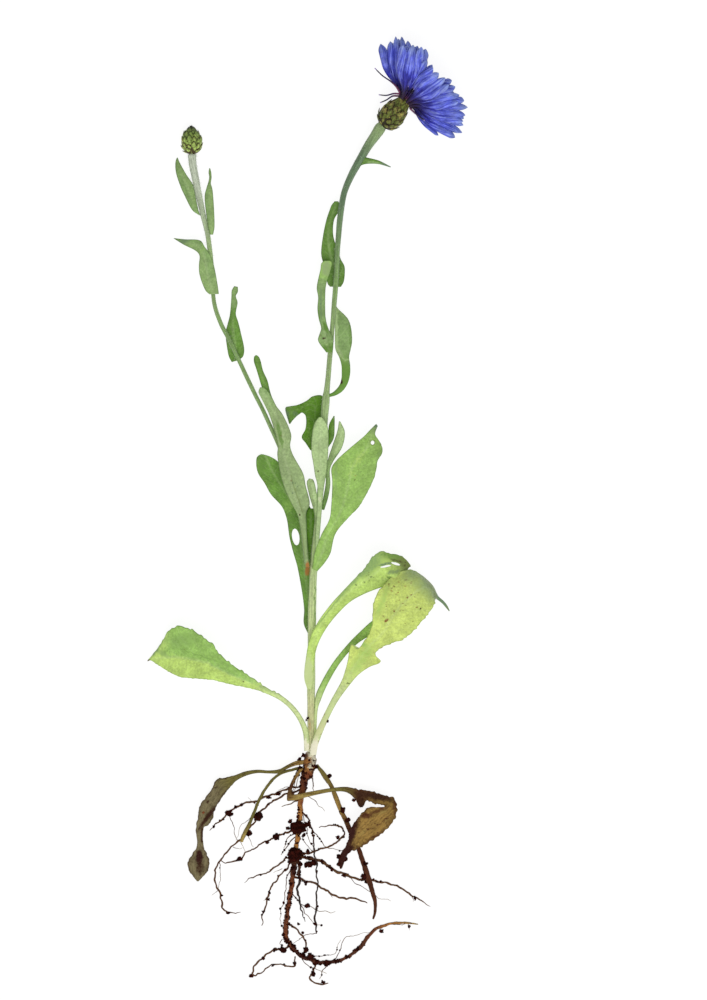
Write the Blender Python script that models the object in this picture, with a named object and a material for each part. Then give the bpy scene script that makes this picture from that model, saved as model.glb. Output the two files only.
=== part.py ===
"""An uprooted cornflower plant (Centaurea cyanus) that lies on a table, as Blender solids.

Each leaf, root, stalk, floret and flower head is its own object. +Z is up from the table, +Y runs from
the roots to the flowers, and the origin is under the middle of the plant's box. Every route below is in
millimetres from the collar, the point where the root meets the stem.
"""

import math

import bmesh
import bpy
import numpy as np

MM = 0.001

# Driving dimensions, in millimetres
SEAM = 0.3  # clearance between two pieces that touch on the plant
LEAF_THICKNESS = 0.4
FLORET_THICKNESS = 0.35
WITHERED_THICKNESS = 0.35
FLORET_LENGTH = 17.5
STALK_SIDES = 8
ROOTLET_SIDES = 6
LEAF_ROW_SPACING = 3.6
STALK_ROW_SPACING = 5.5
ROOT_ROW_SPACING = 3.4

HEAD_BASE = (21.1, 187.15, 4.45)  # where the flower head sits on its stalk
HEAD_AXIS = (0.66, 0.75, 0.07)
HEAD_PROFILE = [  # (distance along the axis, radius)
    (0.0, 1.3), (0.7, 2.9), (2.0, 3.85), (4.0, 4.2), (6.0, 3.95), (8.0, 3.2), (9.6, 2.5), (10.6, 2.2),
]
BUD_BASE = (-35.35, 178.95, 3.75)
BUD_AXIS = (-0.03, 1.0, -0.01)
BUD_PROFILE = [
    (0.0, 1.1), (0.6, 2.4), (1.8, 3.2), (3.6, 3.45), (5.4, 3.05), (7.0, 2.1), (8.1, 1.0), (8.8, 0.25),
]

# Colour as red, green, blue, then roughness
FINISHES = {
    "leaf_green": (0.20, 0.38, 0.09, 0.62),
    "leaf_grey": (0.34, 0.46, 0.24, 0.72),
    "basal_leaf": (0.48, 0.66, 0.20, 0.60),
    "stalk": (0.28, 0.40, 0.19, 0.65),
    "withered_leaf": (0.16, 0.12, 0.06, 0.85),
    "root_bark": (0.24, 0.10, 0.03, 0.80),
    "soil": (0.035, 0.012, 0.008, 0.95),
    "bract": (0.22, 0.26, 0.07, 0.60),
    "ray_floret": (0.13, 0.15, 0.72, 0.50),
    "disc_floret": (0.10, 0.02, 0.22, 0.55),
}

# Stalks: rows of (x, y, z, radius)
MAIN_STEM = [
    (0.0, 1.4, 2.8, 0.95), (0.0, 10, 2.9, 1.05), (0.0, 20, 3.0, 1.12), (0.2, 38, 3.3, 1.12),
    (0.7, 55, 3.6, 1.10), (1.7, 70, 3.8, 1.05), (2.9, 85, 4.0, 1.00), (3.8, 98, 4.3, 0.97),
    (4.5, 109, 4.5, 0.92), (5.6, 119, 4.6, 0.76), (6.6, 130, 4.6, 0.68), (7.5, 143, 4.6, 0.74),
    (8.0, 153, 4.5, 0.82), (9.0, 163, 4.4, 0.88), (10.7, 170, 4.4, 0.98), (13.7, 176.1, 4.4, 1.12),
    (17.0, 181.4, 4.4, 1.45), (19.3, 184.7, 4.4, 1.65), (20.7, 186.65, 4.42, 1.40),
]
BUD_STALK = [
    (-1.65, 53, 3.6, 0.62), (-2.1, 62, 3.45, 0.62), (-3.0, 72, 3.1, 0.62), (-5.3, 82, 2.9, 0.62),
    (-8.7, 90.5, 2.8, 0.62), (-11.4, 96.5, 2.7, 0.62), (-14.2, 102.8, 2.6, 0.60),
    (-16.9, 108.2, 2.6, 0.58), (-19.8, 114.4, 2.6, 0.57), (-22.2, 119.4, 2.6, 0.58),
    (-24.4, 124, 2.7, 0.60), (-27.0, 129.2, 2.8, 0.60), (-28.7, 134.4, 2.8, 0.60),
    (-29.3, 141, 2.8, 0.62), (-29.8, 148, 2.9, 0.66), (-30.8, 155.5, 3.1, 0.72),
    (-32.4, 162.5, 3.3, 0.82), (-33.9, 170, 3.5, 0.95), (-35.1, 176, 3.7, 1.15),
    (-35.33, 178.4, 3.75, 1.25),
]

# Roots: rows of (x, y, z, radius)
ROOT_CROWN = [
    (0.0, 0.9, 2.5, 1.35), (-0.2, -0.4, 2.5, 1.85), (-0.4, -2.0, 2.5, 1.80), (-0.8, -3.6, 2.4, 1.55),
]
TAPROOT = [
    (-1.0, -4.3, 2.4, 1.55), (-1.9, -7.2, 2.2, 1.45), (-2.9, -10.5, 1.9, 1.20), (-3.5, -15, 1.6, 1.00),
    (-3.9, -21, 1.45, 0.92), (-4.3, -26, 1.4, 0.90), (-4.9, -31, 1.4, 0.88), (-5.8, -37.5, 1.3, 0.82),
    (-6.6, -43, 1.2, 0.78), (-7.3, -48.5, 1.1, 0.76), (-7.5, -53, 1.0, 0.72), (-6.4, -56.2, 0.95, 0.66),
    (-4.0, -58.6, 0.9, 0.62), (-0.5, -60.5, 0.85, 0.62), (3.5, -61.3, 0.85, 0.60), (7.5, -61, 0.8, 0.54),
    (11, -59.6, 0.7, 0.48), (14.3, -57, 0.6, 0.42), (17, -53.6, 0.5, 0.36), (19.7, -51.1, 0.45, 0.32),
    (23.5, -50, 0.4, 0.28), (28, -49.5, 0.35, 0.24), (31.8, -50, 0.3, 0.20),
]
LATERAL_ROOTS = {
    "lateral_root_left_1": [
        (-4.6, -9.1, 1.3, 0.30), (-7.4, -9.8, 0.8, 0.30), (-11, -11.2, 0.5, 0.28),
        (-15, -12.7, 0.4, 0.26), (-19, -13.9, 0.4, 0.26), (-22.2, -15, 0.4, 0.26),
        (-24.5, -16.6, 0.4, 0.25), (-26.2, -18.6, 0.35, 0.24), (-28.3, -20, 0.3, 0.22),
        (-30, -22, 0.3, 0.20),
    ],
    "lateral_root_left_2": [
        (-4.9, -10.6, 0.9, 0.30), (-7.5, -11.4, 0.5, 0.30), (-10.2, -12.8, 0.4, 0.28),
        (-13.5, -14.9, 0.35, 0.28), (-15.6, -17.6, 0.35, 0.28), (-18.2, -21.4, 0.35, 0.26),
        (-20.4, -24.4, 0.3, 0.26), (-23.6, -26.8, 0.3, 0.25), (-26.6, -30.2, 0.3, 0.25),
        (-28.3, -33.2, 0.3, 0.24), (-28.7, -36.6, 0.3, 0.24), (-27.6, -39.8, 0.3, 0.23),
        (-26.6, -43.2, 0.3, 0.23), (-25.9, -45.9, 0.3, 0.22), (-24.2, -46.6, 0.3, 0.20),
        (-21.2, -46.5, 0.3, 0.18),
    ],
    "lateral_root_left_3": [
        (-6.7, -22.4, 1.5, 0.28), (-10.2, -23.8, 0.6, 0.28), (-13.1, -25.3, 0.4, 0.26),
        (-16, -26.8, 0.35, 0.26), (-18.6, -28.3, 0.35, 0.25), (-20.7, -30.1, 0.3, 0.25),
        (-23.3, -31.5, 0.3, 0.24), (-25.3, -31.9, 0.3, 0.22),
    ],
    "lateral_root_left_4": [
        (-7.45, -30.5, 1.5, 0.26), (-10.4, -32.7, 0.5, 0.26), (-12.6, -34.4, 0.4, 0.25),
        (-15.5, -35.4, 0.35, 0.24), (-18, -36.2, 0.3, 0.22), (-19.8, -37.6, 0.3, 0.18),
    ],
    "lateral_root_left_5": [
        (-6.6, -32.3, 1.2, 0.28), (-8.7, -34.9, 0.7, 0.28), (-11, -37.5, 0.4, 0.27),
        (-12.5, -40, 0.4, 0.26), (-13.1, -43, 0.35, 0.25), (-14.1, -46, 0.3, 0.24),
        (-14.6, -50.2, 0.3, 0.20),
    ],
    "lateral_root_left_6": [
        (-7.6, -56.8, 0.8, 0.28), (-11.4, -57.7, 0.5, 0.28), (-14.4, -59.9, 0.4, 0.27),
        (-16.4, -62.2, 0.35, 0.26), (-17.5, -63.8, 0.3, 0.26), (-17.7, -64.9, 0.3, 0.26),
        (-16.9, -65.5, 0.3, 0.26), (-15.5, -64.7, 0.3, 0.26), (-13.4, -63.2, 0.3, 0.25),
        (-10.2, -61.7, 0.3, 0.24), (-7.4, -62.2, 0.3, 0.22), (-5.5, -61.6, 0.3, 0.20),
    ],
    "lateral_root_right_1": [
        (-2.0, -28.7, 1.4, 0.28), (1.8, -28.0, 1.1, 0.28), (5.2, -26.8, 0.9, 0.28), (8.4, -25, 0.7, 0.27),
        (9.8, -22.9, 0.5, 0.26), (8.8, -21.1, 0.4, 0.25), (6, -20.5, 0.35, 0.23), (2.5, -21.2, 0.3, 0.20),
    ],
    "lateral_root_right_2": [
        (-2.0, -30.3, 0.9, 0.40), (0.6, -30.5, 0.5, 0.40), (3.2, -31.3, 0.45, 0.40),
        (6.2, -33.4, 0.4, 0.38), (9.5, -34.9, 0.4, 0.36), (13, -36.2, 0.4, 0.34), (17, -37, 0.4, 0.32),
        (22, -37.6, 0.35, 0.30), (26, -38.9, 0.35, 0.28), (29, -40.6, 0.3, 0.26),
        (31.6, -42.4, 0.3, 0.24), (35.4, -44.6, 0.3, 0.18),
    ],
    "lateral_root_right_3": [
        (-4.2, -36.2, 1.0, 0.32), (-1.2, -37.1, 0.6, 0.32), (2, -38.4, 0.4, 0.31), (5, -40.4, 0.4, 0.30),
        (8, -41.9, 0.35, 0.29), (12, -42.3, 0.35, 0.27), (16.6, -43.6, 0.3, 0.22),
    ],
    "lateral_root_right_4": [
        (-3.6, -32.6, 1.9, 0.30), (-3.5, -35.4, 2.0, 0.32), (-3.9, -39.6, 1.6, 0.30),
        (-3.4, -43.6, 1.1, 0.27), (-2.6, -46.8, 0.6, 0.24), (-1.9, -49.2, 0.3, 0.18),
    ],
    "lateral_root_right_5": [
        (-2.1, -17.0, 1.6, 0.24), (-0.2, -20, 2.0, 0.24), (0.5, -24.2, 2.0, 0.24),
        (1.0, -28.4, 2.0, 0.24), (1.6, -33, 1.6, 0.24), (1.8, -39.6, 1.3, 0.24), (1.3, -46, 0.7, 0.23),
        (1.2, -50, 0.4, 0.22), (1.6, -52.7, 0.3, 0.18),
    ],
    "lateral_root_right_6": [
        (-5.9, -49.9, 1.1, 0.26), (-4.2, -51.8, 0.7, 0.26), (-2.4, -53.6, 0.5, 0.26),
        (-1.8, -56, 0.5, 0.25), (-2.0, -58.2, 0.6, 0.22),
    ],
    "lateral_root_bottom_loop": [
        (1.2, -62.4, 0.6, 0.26), (0.3, -64.2, 0.4, 0.26), (-0.2, -66.2, 0.35, 0.26),
        (1.3, -67.6, 0.3, 0.25), (3, -67.9, 0.3, 0.24), (4.8, -67.5, 0.3, 0.20),
    ],
}

# Leaves: rows of (x, y, z, half-width to the left, half-width to the right). Left and right are as seen
# when travelling from the leaf's base to its tip.
LEAVES = {
    # The four leaves of the rosette
    "basal_leaf_left": ("basal_leaf", 0.20, [
        (-1.5, 2.0, 3.7, 0.5, 0.5), (-1.9, 6.5, 4.0, 0.5, 0.5), (-3.0, 11, 4.8, 0.55, 0.5),
        (-5.3, 14.6, 6.0, 0.6, 0.55), (-8.6, 17.6, 7.2, 0.7, 0.6), (-13, 20.3, 8.6, 1.2, 0.8),
        (-19, 23.3, 9.6, 2.2, 1.5), (-25, 25.7, 9.8, 3.4, 3.0), (-31, 28.1, 9.2, 5.0, 5.6),
        (-36.5, 29.4, 7.6, 5.9, 8.6), (-41.5, 29.8, 5.4, 5.2, 7.6), (-45.3, 29.3, 2.8, 2.5, 4.2),
        (-48.4, 28.4, 0.6, 0.2, 0.2),
    ]),
    "basal_leaf_right": ("basal_leaf", -0.14, [
        (1.35, 1.6, 4.15, 0.6, 0.6), (1.8, 5, 4.5, 0.75, 0.75), (3.2, 9, 5.2, 0.85, 0.85),
        (5.2, 13, 6.1, 0.8, 0.8), (7.5, 17.3, 7.0, 0.8, 0.8), (9.6, 21.3, 7.8, 1.2, 1.4),
        (13, 27, 9.0, 2.4, 3.6), (17, 33, 10.2, 2.4, 4.4), (21.5, 39, 11.2, 4.0, 6.1),
        (26, 44.3, 12.0, 7.6, 8.2), (31, 48.2, 11.5, 7.6, 6.4), (34.6, 48.8, 9.6, 3.3, 3.4),
        (37.3, 47.4, 6.4, 1.0, 1.2), (39.3, 45.6, 3.2, 0.45, 0.45), (41.2, 43.4, 0.5, 0.2, 0.2),
    ]),
    "basal_leaf_arching": ("basal_leaf", 0.14, [
        (-0.9, 22.5, 4.45, 0.6, 0.6), (-0.6, 26, 4.9, 1.0, 1.0), (-0.2, 30, 5.1, 1.2, 1.2),
        (0.9, 34.8, 5.5, 1.25, 1.25), (3.3, 39.4, 6.0, 1.3, 1.5), (7.2, 44.4, 6.7, 1.5, 1.7),
        (11.4, 48.5, 7.4, 1.8, 2.2), (15, 51.6, 7.9, 2.5, 3.0), (18, 54, 8.2, 3.7, 4.2),
        (21.5, 55.5, 7.9, 5.3, 5.0), (25.5, 56.2, 6.9, 3.7, 3.8), (29.3, 56.6, 5.6, 0.3, 0.3),
    ]),
    "basal_leaf_middle": ("leaf_green", 0.20, [
        (1.75, 13, 2.9, 0.35, 0.35), (2.15, 17, 3.0, 0.55, 0.55), (3.3, 20.8, 3.2, 0.85, 0.85),
        (5.5, 25, 3.3, 0.95, 0.95), (8.6, 29.6, 3.2, 1.0, 1.0), (11.8, 33.3, 3.0, 1.15, 1.15),
        (15.5, 36.7, 2.6, 1.4, 1.4), (19.5, 39.7, 2.0, 2.0, 1.9), (23.5, 42.5, 1.4, 2.2, 2.0),
        (27, 45, 0.6, 0.3, 0.3),
    ]),
    # The cluster in the middle of the stem
    "stem_leaf_dark_left": ("leaf_green", 0.08, [
        (-1.0, 36, 1.5, 0.5, 0.5), (-1.3, 44, 1.3, 1.1, 1.2), (-2.0, 52, 1.1, 1.7, 1.6),
        (-2.7, 60, 1.0, 2.7, 2.6), (-3.7, 68, 0.9, 3.2, 4.4), (-6.6, 76, 0.9, 3.3, 5.4),
        (-10.4, 83, 1.0, 4.5, 5.0), (-13.2, 87, 1.1, 4.1, 3.4), (-14.6, 89.6, 1.2, 1.6, 1.4),
    ]),
    "stem_leaf_long_left": ("leaf_grey", 0.05, [
        (-1.3, 57.5, 4.9, 0.4, 0.4), (-2.0, 65, 5.0, 0.8, 0.6), (-3.2, 72, 5.1, 0.9, 1.7),
        (-5.0, 78, 5.3, 1.5, 3.9), (-6.8, 84, 5.6, 1.8, 4.0), (-7.8, 89, 5.8, 2.2, 2.8),
        (-8.6, 95, 5.8, 1.5, 2.6), (-10.2, 101, 5.6, 1.9, 2.0), (-12.7, 105.6, 5.4, 1.6, 1.4),
        (-14.9, 109.2, 5.2, 0.6, 0.5),
    ]),
    "stem_leaf_behind_long": ("leaf_green", 0.10, [
        (-9.4, 93, 4.0, 0.5, 0.5), (-10.1, 98, 4.1, 1.1, 1.1), (-11.4, 104, 4.1, 1.3, 1.5),
        (-13.5, 110, 4.0, 1.2, 1.3), (-15.2, 115, 3.8, 0.9, 1.1), (-16.3, 119.2, 3.6, 0.5, 0.5),
    ]),
    "stem_leaf_centre": ("leaf_grey", 0.06, [
        (2.3, 67.5, 5.45, 0.5, 0.5), (2.4, 74, 5.6, 0.9, 0.9), (2.5, 80, 5.7, 1.2, 1.4),
        (2.7, 86, 5.8, 1.9, 2.2), (3.0, 92, 5.95, 2.9, 2.4), (3.2, 97, 6.1, 2.6, 1.8),
        (3.1, 101, 6.2, 0.4, 0.4),
    ]),
    "side_leaf_small": ("leaf_grey", 0.06, [
        (0.0, 71.5, 4.6, 0.3, 0.3), (0.2, 76, 5.3, 0.85, 0.85), (0.0, 80, 5.4, 0.85, 0.85),
        (-0.6, 82.8, 5.4, 0.3, 0.3),
    ]),
    "side_leaf_behind": ("leaf_green", 0.05, [
        (-0.1, 59.5, 2.0, 0.5, 0.5), (-0.2, 64, 2.0, 1.1, 1.2), (-0.3, 69, 2.0, 1.2, 1.3),
        (-0.2, 74, 2.0, 0.6, 0.5),
    ]),
    "side_leaf_grey": ("leaf_grey", 0.06, [
        (3.5, 73.5, 3.9, 0.35, 0.35), (4.7, 80, 4.0, 0.8, 0.8), (5.6, 86, 4.2, 0.9, 0.9),
        (7.2, 91.5, 4.3, 1.4, 1.4), (8.8, 96, 4.2, 1.3, 1.3), (8.5, 99.8, 4.0, 0.2, 0.2),
    ]),
    "side_leaf_dark": ("leaf_green", 0.06, [
        (4.95, 91.5, 4.5, 0.25, 0.25), (5.9, 95.3, 4.7, 0.6, 0.6), (6.5, 98.4, 4.8, 0.6, 0.6),
        (6.9, 101.2, 4.9, 0.15, 0.15),
    ]),
    "stem_leaf_right": ("basal_leaf", 0.12, [
        (1.2, 55.8, 5.15, 0.7, 0.9), (2.8, 60.5, 5.6, 1.9, 2.0), (4.6, 65.5, 5.8, 1.9, 1.9),
        (7.0, 70.5, 6.2, 1.7, 2.3), (9.5, 76.5, 6.8, 3.4, 4.6), (12, 83, 7.2, 6.2, 6.0),
        (14.7, 89, 6.8, 5.0, 6.2), (17, 94, 5.5, 2.4, 3.9), (18.7, 97.2, 4.5, 0.8, 0.6),
        (19.4, 98.8, 4.0, 0.2, 0.2),
    ]),
    "stem_leaf_drooping": ("leaf_green", 0.04, [
        (1.6, 89.5, 2.7, 0.4, 0.4), (0.2, 94.5, 2.6, 2.7, 1.5), (1.0, 99.4, 2.6, 2.5, 2.2),
        (0.5, 103.5, 2.5, 2.2, 3.0), (-1.9, 104.7, 2.3, 1.8, 1.9), (-4.7, 103.6, 1.9, 1.3, 1.8),
        (-6.5, 101.5, 1.4, 0.8, 1.3), (-6.5, 99, 0.9, 0.2, 0.2),
    ]),
    # The leaves of the flower's stalk
    "flower_leaf_right": ("leaf_grey", 0.06, [
        (5.95, 107.3, 4.5, 0.35, 0.35), (8.5, 109.1, 4.0, 0.8, 0.7), (10.0, 112.4, 3.4, 1.3, 1.1),
        (10.2, 116, 3.0, 1.3, 1.3), (9.8, 119.5, 2.9, 2.0, 1.8), (9.6, 123.5, 2.9, 2.4, 2.5),
        (9.3, 128.3, 2.9, 2.1, 2.3), (8.4, 132, 2.9, 1.0, 1.0), (7.5, 134.2, 2.8, 0.2, 0.2),
    ]),
    "flower_leaf_left_lower": ("leaf_grey", 0.06, [
        (5.2, 120.4, 5.95, 0.5, 0.5), (4.3, 123, 6.0, 2.2, 1.5), (4.0, 126.5, 5.7, 1.4, 1.0),
        (3.3, 130, 5.2, 1.2, 1.0), (3.1, 135, 4.8, 1.0, 1.0), (3.1, 139, 4.7, 1.5, 1.1),
        (3.7, 143.5, 4.8, 1.2, 1.4), (4.5, 147, 5.0, 1.0, 1.1),
    ]),
    "flower_leaf_left_upper": ("leaf_green", 0.05, [
        (7.4, 139.8, 3.2, 2.2, 1.9), (7.0, 143.5, 3.1, 2.4, 3.0), (5.8, 148.5, 2.9, 2.6, 2.7),
        (5.0, 153, 2.7, 1.9, 1.8), (5.2, 157.5, 2.6, 1.5, 1.4), (6.4, 162, 2.6, 1.2, 1.2),
        (7.7, 165.1, 2.7, 0.4, 0.4),
    ]),
    "flower_leaf_top": ("leaf_green", 0.05, [
        (16.5, 176.95, 4.5, 0.7, 0.7), (17.2, 177.1, 4.4, 0.9, 0.9), (19.6, 176.9, 4.0, 0.6, 0.6),
        (21.8, 176.1, 3.4, 0.45, 0.45), (23.6, 175.3, 2.8, 0.15, 0.15),
    ]),
    # The leaves of the bud's stalk
    "bud_leaf_upper_left": ("leaf_green", 0.08, [
        (-33.5, 161.7, 3.3, 0.3, 0.3), (-34.9, 164.4, 3.4, 1.2, 1.0), (-36.4, 168, 3.0, 1.8, 1.8),
        (-37.8, 171.5, 2.4, 1.8, 1.4), (-39.1, 174.9, 1.7, 1.2, 0.9), (-39.9, 178, 0.9, 0.2, 0.2),
    ]),
    "bud_leaf_upper_right": ("leaf_green", 0.08, [
        (-29.5, 155.1, 3.2, 0.3, 0.3), (-30.0, 159, 4.2, 0.9, 1.3), (-30.1, 163.5, 4.0, 1.3, 1.4),
        (-30.3, 167.5, 3.4, 1.2, 1.0), (-30.3, 170.8, 2.6, 0.5, 0.4), (-30.1, 175, 1.4, 0.2, 0.2),
    ]),
    "bud_leaf_middle": ("leaf_green", 0.04, [
        (-28.9, 137.5, 4.0, 1.2, 1.1), (-30.3, 140.7, 4.0, 1.9, 1.7), (-31.1, 144.6, 4.1, 2.1, 2.1),
        (-31.3, 148.4, 4.2, 1.8, 1.7), (-32.5, 151.2, 4.0, 1.4, 1.6), (-34.9, 152.4, 3.4, 1.1, 1.2),
        (-38, 153.4, 2.4, 0.6, 0.5), (-40.8, 154.1, 1.4, 0.15, 0.15),
    ]),
    "bud_leaf_lower": ("leaf_green", 0.05, [
        (-21.9, 117.7, 1.4, 1.4, 1.2), (-22.5, 121, 1.4, 2.4, 2.6), (-22.9, 125, 1.4, 2.5, 1.9),
        (-23.2, 129, 1.4, 1.5, 1.2), (-23.2, 132.6, 1.5, 0.7, 0.8), (-22.9, 136, 1.6, 0.8, 0.8),
        (-22.5, 140, 1.6, 0.5, 0.6),
    ]),
}

WITHERED_LEAVES = {
    "withered_leaf_left": (0.10, [
        (-3.1, -1.9, 3.0, 0.5, 0.5), (-6.0, -2.6, 2.8, 0.6, 0.6), (-9.3, -4.2, 2.5, 0.6, 0.5),
        (-13, -4.5, 2.3, 0.45, 0.45), (-17, -4.5, 2.2, 0.5, 0.5), (-21, -5.3, 2.2, 0.7, 0.7),
        (-25, -7.9, 2.2, 1.5, 1.8), (-28.3, -10.9, 2.1, 2.1, 2.6), (-30.7, -14.2, 1.8, 1.8, 2.4),
        (-32.3, -18, 1.4, 1.7, 1.9), (-33.2, -22, 1.0, 0.9, 1.0), (-33.1, -26, 0.8, 1.0, 1.0),
        (-33.2, -29, 0.7, 1.9, 2.0), (-33.5, -32, 0.6, 3.0, 3.0), (-33.6, -35, 0.5, 1.8, 1.8),
        (-33.6, -37.3, 0.4, 0.2, 0.2),
    ]),
    "withered_leaf_right": (0.08, [
        (-3.0, -3.5, 4.0, 0.4, 0.4), (-5.1, -6.8, 3.9, 0.5, 0.5), (-6.4, -10, 4.2, 0.5, 0.5),
        (-5.6, -12.2, 4.5, 0.5, 0.5), (-3.0, -12.0, 4.6, 0.6, 0.6), (1, -11, 4.4, 0.6, 0.6),
        (6, -9.9, 4.2, 0.6, 0.6), (11, -9.5, 4.0, 0.7, 0.9), (15, -10.9, 3.6, 1.1, 2.2),
        (19.5, -12.1, 3.4, 1.3, 1.4), (23.4, -13.2, 3.6, 0.9, 0.9), (24.2, -15.0, 4.9, 2.0, 1.6),
        (22.1, -16.7, 6.0, 3.6, 3.2), (19.3, -18.8, 6.2, 4.3, 4.2), (16.5, -21.5, 5.6, 4.0, 4.2),
        (13.9, -24.5, 4.6, 2.8, 3.2), (11.6, -27.6, 3.5, 1.2, 1.5), (9.7, -30.6, 2.8, 0.8, 0.8),
        (8.9, -33.2, 2.4, 0.2, 0.2),
    ]),
    "dead_petiole_left": (0.0, [
        (-3.1, -3.3, 2.0, 0.35, 0.35), (-6.2, -4.1, 1.6, 0.4, 0.4), (-9.6, -5.4, 1.3, 0.4, 0.4),
        (-11.9, -7.3, 1.2, 0.4, 0.4), (-14.0, -10.2, 1.2, 0.4, 0.4), (-16.3, -15.0, 1.2, 0.45, 0.45),
        (-18.4, -20, 1.2, 0.5, 0.5), (-20.4, -24.8, 1.1, 0.8, 0.8),
    ]),
    "dead_petiole_right": (0.0, [
        (1.9, -2.9, 2.4, 0.4, 0.4), (4.0, -5.4, 2.2, 0.55, 0.55), (6.0, -8.8, 2.0, 0.55, 0.55),
        (7.5, -12.5, 1.8, 0.55, 0.55), (9.2, -16.6, 1.7, 0.6, 0.6), (11.2, -20.6, 1.6, 0.65, 0.65),
        (13.4, -25.6, 1.5, 0.6, 0.6), (15.2, -30.6, 1.4, 0.6, 0.6), (16.9, -35.6, 1.4, 0.7, 0.7),
        (18.5, -40.2, 1.2, 0.6, 0.6), (19.1, -44, 0.8, 0.5, 0.5), (18.5, -48, 0.4, 0.25, 0.25),
    ]),
}

# Ray florets: (place round the head's axis, heading on the table, rise, length as a share), with the
# angles in degrees. Place 0 is the top of the head, 90 its left side, 180 the side on the table.
RAY_FLORETS = [
    (22, 62, 36, 0.82), (50, 77, 17, 0.93), (77, 91, 6, 0.98), (105, 103, -2, 0.99), (132, 116, -6, 0.99),
    (161, 82, -11, 0.96), (199, 6, -11, 0.92), (228, -50, -6, 0.88), (255, -34, -1, 1.00),
    (283, -15, 6, 0.97), (310, 8, 15, 0.90), (338, 32, 27, 0.82),
]
FLORET_RING_RADIUS = 1.55
FLORET_BEND_ENDS = 0.45  # share of the length over which a floret turns from the axis to its heading
FLORET_ARCH = 0.12  # how far a floret first climbs and then droops
FLORET_SHAPE = [  # (share of the length, half-width)
    (0.0, 0.40), (0.16, 0.40), (0.34, 0.60), (0.52, 1.5), (0.70, 3.1), (0.85, 4.2), (0.95, 3.8),
    (1.0, 2.6),
]
DISC_PROFILE = [(0.0, 0.85), (3.0, 0.90), (6.0, 1.3), (8.5, 1.7), (9.5, 1.2)]

# Soil clods that straddle the taproot: (centre, radii)
SOIL_CLODS = {
    "soil_clod_upper": ((-3.7, -21.0, 2.3), (2.9, 2.1, 1.75)),
    "soil_clod_lower": ((-4.8, -29.3, 2.2), (2.3, 2.3, 1.65)),
}
CLOD_BUMP = 0.10  # share of the radius by which a clod's surface swells and sinks
CLOD_WAVES = ((7, 3), (6, 2))  # how often the swellings repeat across a clod


def unit(vector):
    return np.asarray(vector, float) / np.linalg.norm(vector)


def smooth_rows(rows, spacing):
    """Rows read from a centripetal curve through the given rows, about `spacing` apart in x, y, z."""
    rows = np.asarray(rows, float)
    steps = np.linalg.norm(np.diff(rows[:, :3], axis=0), axis=1)
    knots = np.concatenate([[0.0], np.cumsum(np.sqrt(steps))])
    padded = np.vstack([2 * rows[0] - rows[1], rows, 2 * rows[-1] - rows[-2]])
    times = np.concatenate([[2 * knots[0] - knots[1]], knots, [2 * knots[-1] - knots[-2]]])
    found = []
    for i in range(len(rows) - 1):
        t0, t1, t2, t3 = times[i:i + 4]
        p0, p1, p2, p3 = padded[i:i + 4]
        for t in np.linspace(t1, t2, max(2, round(steps[i] / spacing) + 1))[:-1]:
            a1 = p0 + (p1 - p0) * (t - t0) / (t1 - t0)
            a2 = p1 + (p2 - p1) * (t - t1) / (t2 - t1)
            a3 = p2 + (p3 - p2) * (t - t2) / (t3 - t2)
            b1 = a1 + (a2 - a1) * (t - t0) / (t2 - t0)
            b2 = a2 + (a3 - a2) * (t - t1) / (t3 - t1)
            found.append(b1 + (b2 - b1) * (t - t1) / (t2 - t1))
    found.append(rows[-1])
    return np.array(found)


def directions(points):
    """The curve's direction at each point."""
    return np.array([unit(d) for d in np.gradient(points, axis=0)])


def side_vectors(tangents, up=(0, 0, 1)):
    """The level direction across each point. It keeps its side where the curve turns back over itself."""
    sides = []
    for tangent in tangents:
        side = np.cross(up, tangent)
        if np.linalg.norm(side) < 0.05:
            side = sides[-1] if sides else np.array([1.0, 0, 0])
        side = unit(side)
        if sides and side @ sides[-1] < 0:
            side = -side
        sides.append(side)
    return np.array(sides)


def lofted(name, rings, finish):
    """A closed object through rings of points, in millimetres, with flat ends."""
    mesh = bpy.data.meshes.new(name)
    model = bmesh.new()
    layers = [[model.verts.new([c * MM for c in point]) for point in ring] for ring in rings]
    count = len(rings[0])
    for lower, upper in zip(layers, layers[1:]):
        for i in range(count):
            j = (i + 1) % count
            model.faces.new((lower[i], lower[j], upper[j], upper[i]))
    model.faces.new(layers[0][::-1])
    model.faces.new(layers[-1])
    bmesh.ops.triangulate(model, faces=model.faces[:])
    bmesh.ops.recalc_face_normals(model, faces=model.faces[:])
    model.to_mesh(mesh)
    model.free()
    mesh.shade_smooth()
    mesh.materials.append(finish_material(finish))
    made = bpy.data.objects.new(name, mesh)
    bpy.context.scene.collection.objects.link(made)
    return made


def finish_material(name):
    found = bpy.data.materials.get(name)
    if found:
        return found
    red, green, blue, roughness = FINISHES[name]
    material = bpy.data.materials.new(name)
    material.use_nodes = True
    shader = material.node_tree.nodes["Principled BSDF"]
    shader.inputs["Base Color"].default_value = (red, green, blue, 1)
    shader.inputs["Roughness"].default_value = roughness
    shader.inputs["Metallic"].default_value = 0
    return material


def tube(name, rows, spacing, sides, finish, grow=0.0):
    """A round stalk or root whose radius is the fourth number of each row."""
    rows = smooth_rows(rows, spacing)
    points, radii = rows[:, :3], rows[:, 3] + grow
    tangents = directions(points)
    across = side_vectors(tangents)
    above = np.cross(tangents, across)
    rings = [
        [p + r * (math.cos(a) * s + math.sin(a) * u) for a in np.arange(sides) * math.tau / sides]
        for p, r, s, u in zip(points, radii, across, above)
    ]
    return lofted(name, rings, finish)


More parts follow.
